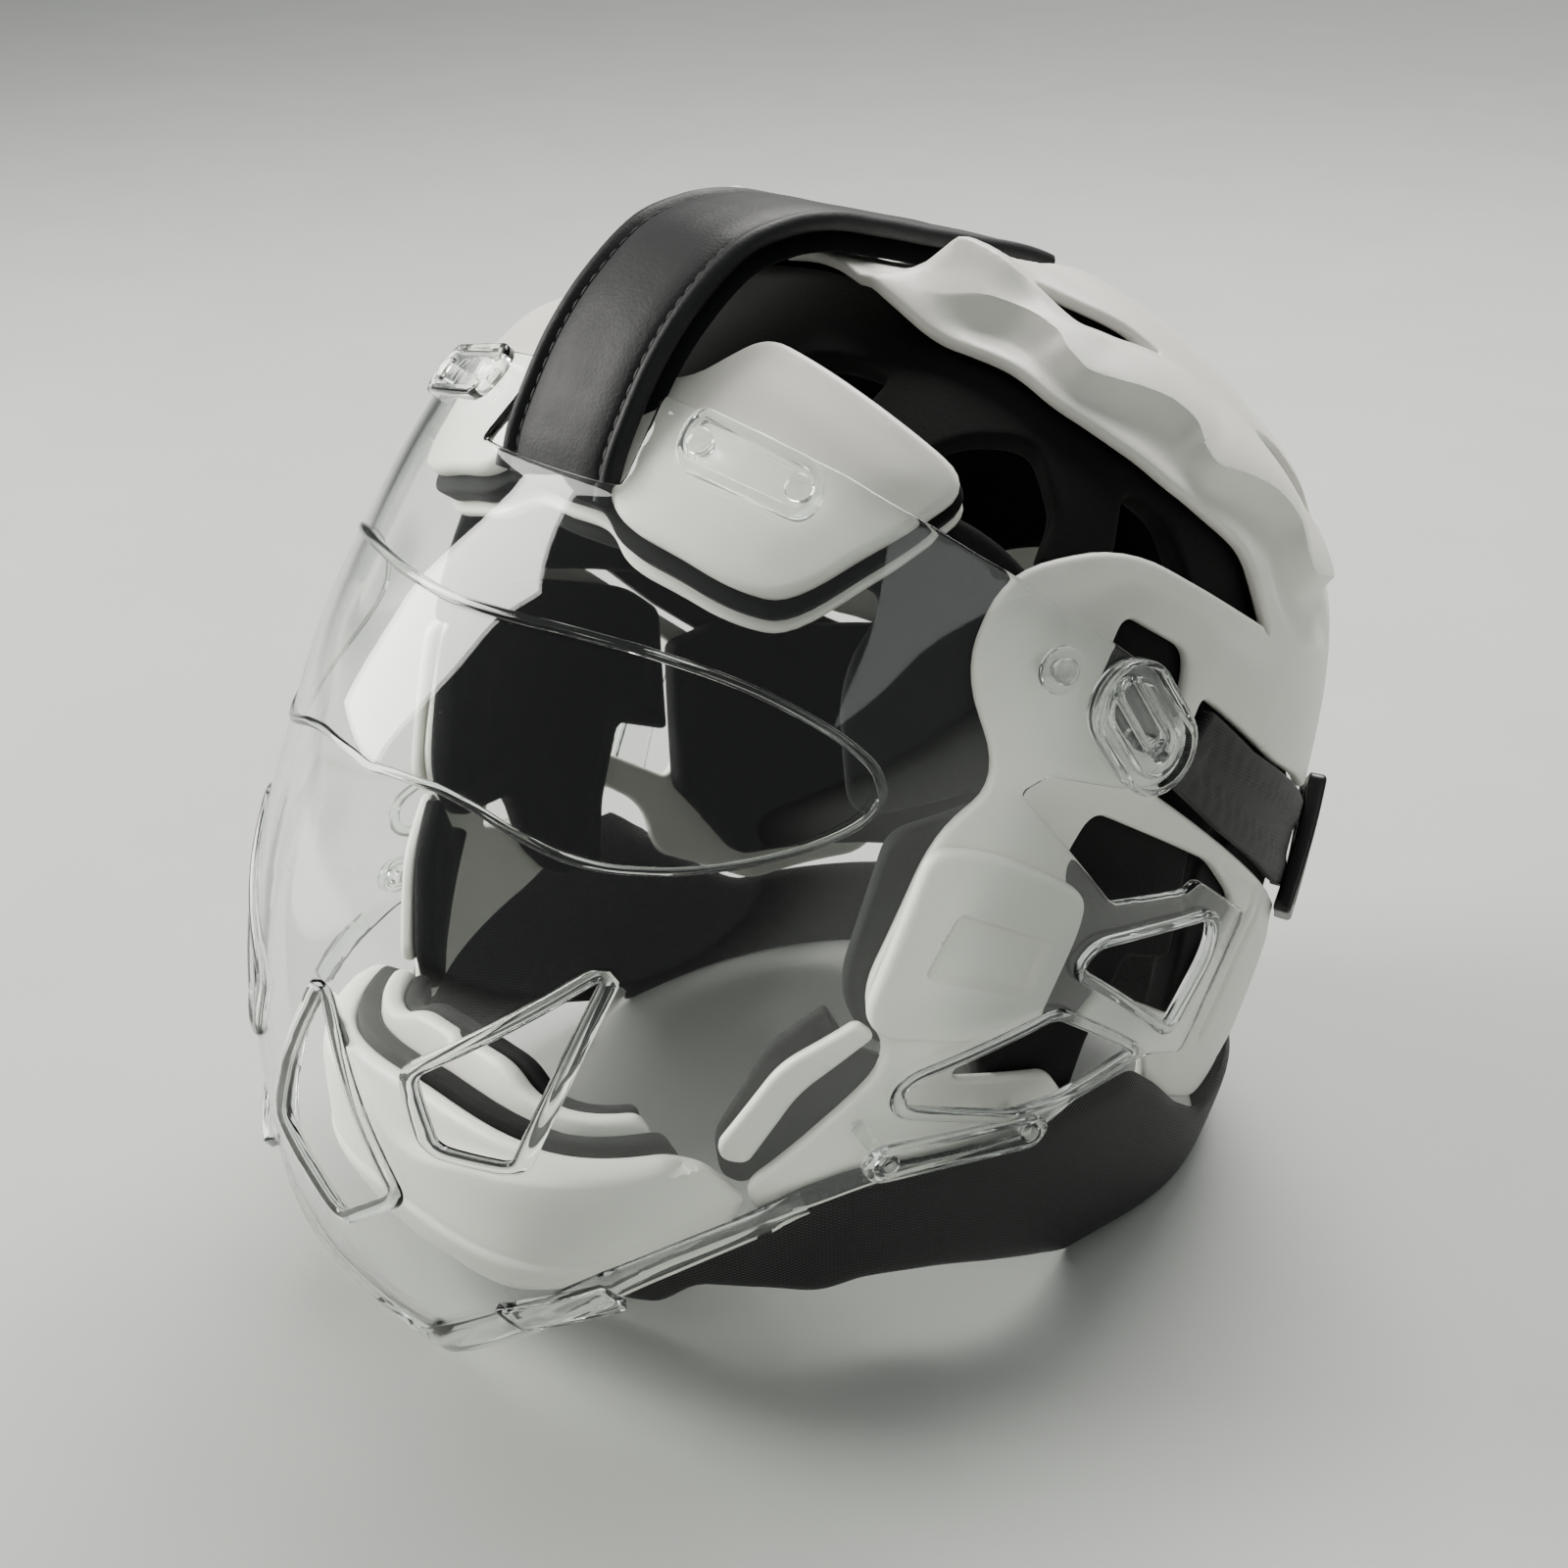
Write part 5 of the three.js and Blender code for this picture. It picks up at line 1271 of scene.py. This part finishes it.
def jaw_clip():
    """Long clear clip at the jaw, with a pin at each end."""
    ends = [spot_of(row) for row in JAW_PINS]
    pins = [pin(x, y, radius=2.5, top=3.6, foot=PIN_SUNK) for x, y in ends]
    return together(slotted_head(*ends, radius=4.4, bar=1.5, top=3, wall=3), *pins)


# Straps

# Half of the top strap's section: distance from its middle, and rise
STRAP_SECTION = [
    (0, 0.5), (8, 0.35), (12.6, -0.1), (13.8, -0.7), (14.6, -1.25), (15.2, -0.7), (16, 0.1),
    (17, 0.45), (18.1, 0.15), (18.8, -0.9), (19, -2.2), (18.8, -3.4), (18.4, -4),
]
# The flat underside's rise and half width, then the thread in the grooves
STRAP_UNDERSIDE = -8.7
UNDERSIDE_HALF = 18.2
STITCH_LINE = 14.6
STITCH_DEPTH = -0.95
STITCH_PITCH = 3.4
STITCH_LENGTH = 2.5
STITCH_FIRST = 3
STITCH_LAST = 4
THREAD_RADIUS = 0.38


def strap_points(v, across, rise):
    """Points of the top strap: at v along the crown, across its width and at a rise over its face."""
    here, ahead, behind = (
        lifted(crown, 0 * v, v + step, along_crown(TOP_STRAP, v + step)) for step in (0, 0.5, -0.5)
    )
    way = (ahead - behind) * np.array([0, 1, 1])
    way /= np.linalg.norm(way, axis=1, keepdims=True)
    up = np.column_stack([0 * v, -way[:, 2], way[:, 1]])
    return here[:, None] + across[None, :, None] * np.array([1, 0, 0]) + rise[..., None] * up[:, None]


def top_strap():
    """Padded leatherette band: a soft cushion between two stitch grooves and rolled piping."""
    half, rise = np.array(STRAP_SECTION, float).T
    below = np.linspace(-UNDERSIDE_HALF, UNDERSIDE_HALF, 14)
    across = np.concatenate([half, -half[::-1], below])
    section = np.concatenate([rise, rise[::-1], np.full(len(below), STRAP_UNDERSIDE)])
    v = np.linspace(percent(TOP_STRAP[0][0]), percent(TOP_STRAP[-1][0]), 150)
    return outwards(swept(strap_points(v, across, np.tile(section, (len(v), 1)))))


def stitches():
    """Thread along both grooves of the top strap: short dashes, one capsule each."""
    start, end = percent(TOP_STRAP[0][0]) + STITCH_FIRST, percent(TOP_STRAP[-1][0]) - STITCH_LAST
    v = np.arange(start, end, STITCH_PITCH)
    along = np.linspace(-STITCH_LENGTH / 2, STITCH_LENGTH / 2, 4)
    spots = (v[:, None] + along[None]).ravel()
    turn = np.arange(6) * math.pi / 3
    size = THREAD_RADIUS * np.array([0.35, 1, 1, 0.35])
    ring = np.stack([np.cos(turn), 0 * turn, np.sin(turn)], -1)
    parts = []
    for place in (-STITCH_LINE, STITCH_LINE):
        centre = strap_points(spots, np.array([place]), np.full((len(spots), 1), STITCH_DEPTH))
        centre = centre.reshape(len(v), len(along), 1, 3)
        parts += [outwards(swept(one)) for one in centre + size[None, :, None, None] * ring[None, None]]
    return together(*parts)


def hem(height, width, stitch):
    """Relief of a turned hem along a band's edges: a thicker border with a sunk seam."""
    def relief(x, y, distance):
        seam = HEM_SEAM * (1 - ease(np.abs(distance - stitch) / HEM_SEAM_HALF))
        return height * (1 - rising(distance, width, HEM_STEP)) - seam
    return relief


def rear_strap():
    """Elastic band round the back, with turned hems."""
    corners = mirrored(side(REAR_STRAP_HALF), REAR_X)
    return plate(shell_side, traced(corners, 2), REAR_STRAP_FACE, BAND_WALL, rounding=0.9, under=0.6,
                 grain=2.6, relief=hem(height=0.9, width=5.6, stitch=3.4))


def chin_strap():
    """Closed band round the nape and under the chin: a section with soft edges carried round the head.

    At a share s of its width the wall is full by sqrt(1 - (2 s - 1)^8), and bulges by sin(pi s)^0.5.
    """
    angle = np.linspace(-180, 180, 361)[:-1]
    top = percent(smooth(CHIN_STRAP, 1, np.abs(angle)))[:, None]
    bottom = percent(smooth(CHIN_STRAP, 2, np.abs(angle)))[:, None]
    share = np.linspace(0, 1, 17)
    full = np.sqrt(np.maximum(1 - (2 * share - 1) ** 8, 0))
    bulge = CHIN_STRAP_BULGE * np.sin(math.pi * share) ** 0.5
    outer = STRAP_INNER + BAND_WALL * (CHIN_STRAP_EDGE + (1 - CHIN_STRAP_EDGE) * full) + bulge
    inner = STRAP_INNER + CHIN_STRAP_TUCK * (1 - full)
    height = bottom + (top - bottom) * np.concatenate([share, share[::-1]])
    depth = np.tile(np.concatenate([outer, inner[::-1]]), (len(angle), 1))
    x = np.repeat(angle[:, None] * MM_PER_DEGREE, 2 * len(share), 1)
    rings = lifted(shell_side, x, height, depth)
    rings[..., 2] = np.maximum(rings[..., 2], FLOOR_CLEARANCE)
    return outwards((*swept(rings, closed=True), np.column_stack([x.ravel(), height.ravel()])))


def buckle():
    """Ladder buckle square across the rear band: a frame with two slots."""
    x, y = spot_of(BUCKLE_PLACE)
    turn = math.radians(BUCKLE_TURN)
    width, length = BUCKLE_SIZE
    slot = (width - 3 * BUCKLE_BAR) / 2
    away = (slot + BUCKLE_BAR) / 2
    holes = []
    for way in (-away, away):
        middle = (x + way * math.cos(turn), y + way * math.sin(turn))
        corners = turned_box(middle, (slot, length - 2 * BUCKLE_BAR), turn, corner_ease=0.8)
        holes.append(traced(corners, 1.2))
    frame_line = traced(turned_box((x, y), BUCKLE_SIZE, turn, corner_ease=2.4), 1.2)
    return plate(shell_side, frame_line, BUCKLE_FACE, BUCKLE_WALL, rounding=1.1, under=0.6, grain=1.3,
                 holes=holes)


# The headgear, from the shell inwards
piece("crown_shell_moulded", crown_shell(), WHITE, ["crown_shell"])
pair("side_frame_moulded", side_frame(), WHITE, "side_frame")
pair("cheek_plate_moulded", cheek_plate(), WHITE, "cheek_plate")
forehead_plate = forehead_layer(FOREHEAD_PLATE_FACE, FOREHEAD_PLATE_WALL, show=0, rounding=2.1, under=0.8,
                                swell=1)
piece("forehead_plate_moulded", forehead_plate, WHITE, ["forehead_plate"])
forehead_foam = forehead_layer(FOREHEAD_FOAM_FACE, FOREHEAD_FOAM_WALL, FOREHEAD_FOAM_SHOW, rounding=0.9,
                               under=0.9)
piece("forehead_foam_cut", forehead_foam, FOAM, ["forehead_foam"])
forehead_rail = forehead_layer(FOREHEAD_RAIL_FACE, FOREHEAD_RAIL_WALL, FOREHEAD_RAIL_SHOW, rounding=1,
                               under=0.8)
piece("forehead_rail_moulded", forehead_rail, WHITE, ["forehead_rail"])
piece("chin_bumper_moulded", chin_bumper(), WHITE, ["chin_bumper"])
chin_foam = chin_layer(CHIN_FOAM_HALF, CHIN_FOAM_FACE, CHIN_FOAM_WALL, rounding=1.2)
piece("chin_foam_cut", chin_foam, FOAM, ["chin_foam"])
chin_rail = chin_layer(CHIN_RAIL_HALF, CHIN_RAIL_FACE, CHIN_RAIL_WALL, rounding=1.9)
piece("chin_rail_moulded", chin_rail, WHITE, ["chin_rail"])
chin_lining = chin_layer(CHIN_LINING_HALF, CHIN_LINING_FACE, CHIN_LINING_WALL, rounding=1.8)
piece("chin_lining_pad", chin_lining, FOAM, ["chin_lining"])
pair("jaw_rail_moulded", jaw_rail(), WHITE, "jaw_rail")
pair("jaw_foam_pad", lining(JAW_FOAM, LINER_WALL), FOAM, "jaw_foam")
piece("crown_liner_pad", crown_liner(), FOAM, ["crown_liner"])
headband = lining(HEADBAND_HALF, LINER_WALL, pillow=1.4, middle=0)
piece("headband_pad", headband, FOAM, ["headband"])
pair("cheek_pad_foam", lining(CHEEK_PAD, PAD_WALL, pillow=2.4), FOAM, "cheek_pad")
nape_pad = lining(NAPE_PAD_HALF, PAD_WALL, pillow=2.2, middle=REAR_X)
piece("nape_pad_foam", nape_pad, FOAM, ["nape_pad"])
piece("top_strap_padded", top_strap(), LEATHER, ["top_strap"], smooth_below=60)
piece("top_strap_stitching", stitches(), WEBBING, [])
piece("rear_strap_woven", rear_strap(), WEBBING, ["rear_strap"])
piece("buckle_moulded", buckle(), ACETAL, ["buckle"])
piece("chin_strap_woven", chin_strap(), WEBBING, ["chin_strap"], smooth_below=60)
piece("face_shield_moulded", face_shield(), CLEAR, ["face_shield"])
pair("forehead_clip_moulded", forehead_clip(), CLEAR, "forehead_clip")
pair("temple_pin_moulded", temple_pin(), CLEAR, "temple_pin")
pair("pivot_pin_moulded", pivot_pin(), CLEAR, "pivot_pin")
pair("jaw_clip_moulded", jaw_clip(), CLEAR, "jaw_clip")

# Studio

# Camera: place in millimetres, then azimuth, elevation and field of view in degrees
CAMERA_PLACE = (417.2, -394.4, 371.5)
CAMERA_AZIMUTH = 47
CAMERA_ELEVATION = 25
CAMERA_ANGLE = 35
# Half width of the floor and middle of the headgear in metres, and the sky
FLOOR_HALF = 6
MIDDLE = (0, 0, 0.12)
SKY_COLOUR = "#dfe4e2"
SKY_STRENGTH = 0.22

# Lamps: name, place, target and size in metres, watts and colour
LAMPS = [
    ("window_box", (-1.05, -0.7, 0.75), MIDDLE, (0.55, 0.95), 30, "#fffdf8"),
    ("high_key", (-0.35, 0.75, 1.35), MIDDLE, (0.8, 0.8), 32, "#fffdf8"),
    ("back_sky", (-0.8, 2.4, 2.4), (-0.9, 1.9, 0), (3, 2), 60, "#ffffff"),
    ("side_fill", (1.3, -0.2, 0.9), MIDDLE, (0.9, 0.9), 2.6, "#f4fbf6"),
]


def camera():
    """Camera at the photograph's height and side, looking down at the cheek and the brow."""
    data = bpy.data.cameras.new("camera")
    made = bpy.data.objects.new("camera", data)
    bpy.context.scene.collection.objects.link(made)
    turn, tilt = math.radians(CAMERA_AZIMUTH), math.radians(CAMERA_ELEVATION)
    ahead = Vector((-math.sin(turn) * math.cos(tilt), math.cos(turn) * math.cos(tilt), -math.sin(tilt)))
    made.location = Vector(CAMERA_PLACE) * MM
    made.rotation_euler = ahead.to_track_quat("-Z", "Y").to_euler()
    data.angle = math.radians(CAMERA_ANGLE)
    data.clip_start = 0.01
    bpy.context.scene.camera = made


def soft_box(name, place, target, size, watts, colour):
    """Area lamp at a place, turned to a target."""
    data = bpy.data.lights.new(name, "AREA")
    data.shape = "RECTANGLE"
    data.size, data.size_y = size
    data.energy = watts
    data.color = linear(colour)[:3]
    lamp = bpy.data.objects.new(name, data)
    bpy.context.scene.collection.objects.link(lamp)
    lamp.location = place
    lamp.rotation_euler = (Vector(target) - Vector(place)).to_track_quat("-Z", "Y").to_euler()


def studio():
    """Pale floor, a tall window-like box on the wearer's right, three more lamps and a faint sky."""
    mesh = bpy.data.meshes.new("studio_floor")
    corners = [(-1, -1), (1, -1), (1, 1), (-1, 1)]
    mesh.from_pydata([(FLOOR_HALF * x, FLOOR_HALF * y, 0) for x, y in corners], [], [(0, 1, 2, 3)])
    mesh.materials.append(new_material("studio_floor_pale", studio_floor))
    floor = bpy.data.objects.new("studio_floor", mesh)
    bpy.context.scene.collection.objects.link(floor)
    for lamp in LAMPS:
        soft_box(*lamp)
    world = bpy.data.worlds.new("studio_sky")
    bpy.context.scene.world = world
    world.use_nodes = True
    background = world.node_tree.nodes["Background"]
    background.inputs["Color"].default_value = linear(SKY_COLOUR)
    background.inputs["Strength"].default_value = SKY_STRENGTH


camera()
studio()
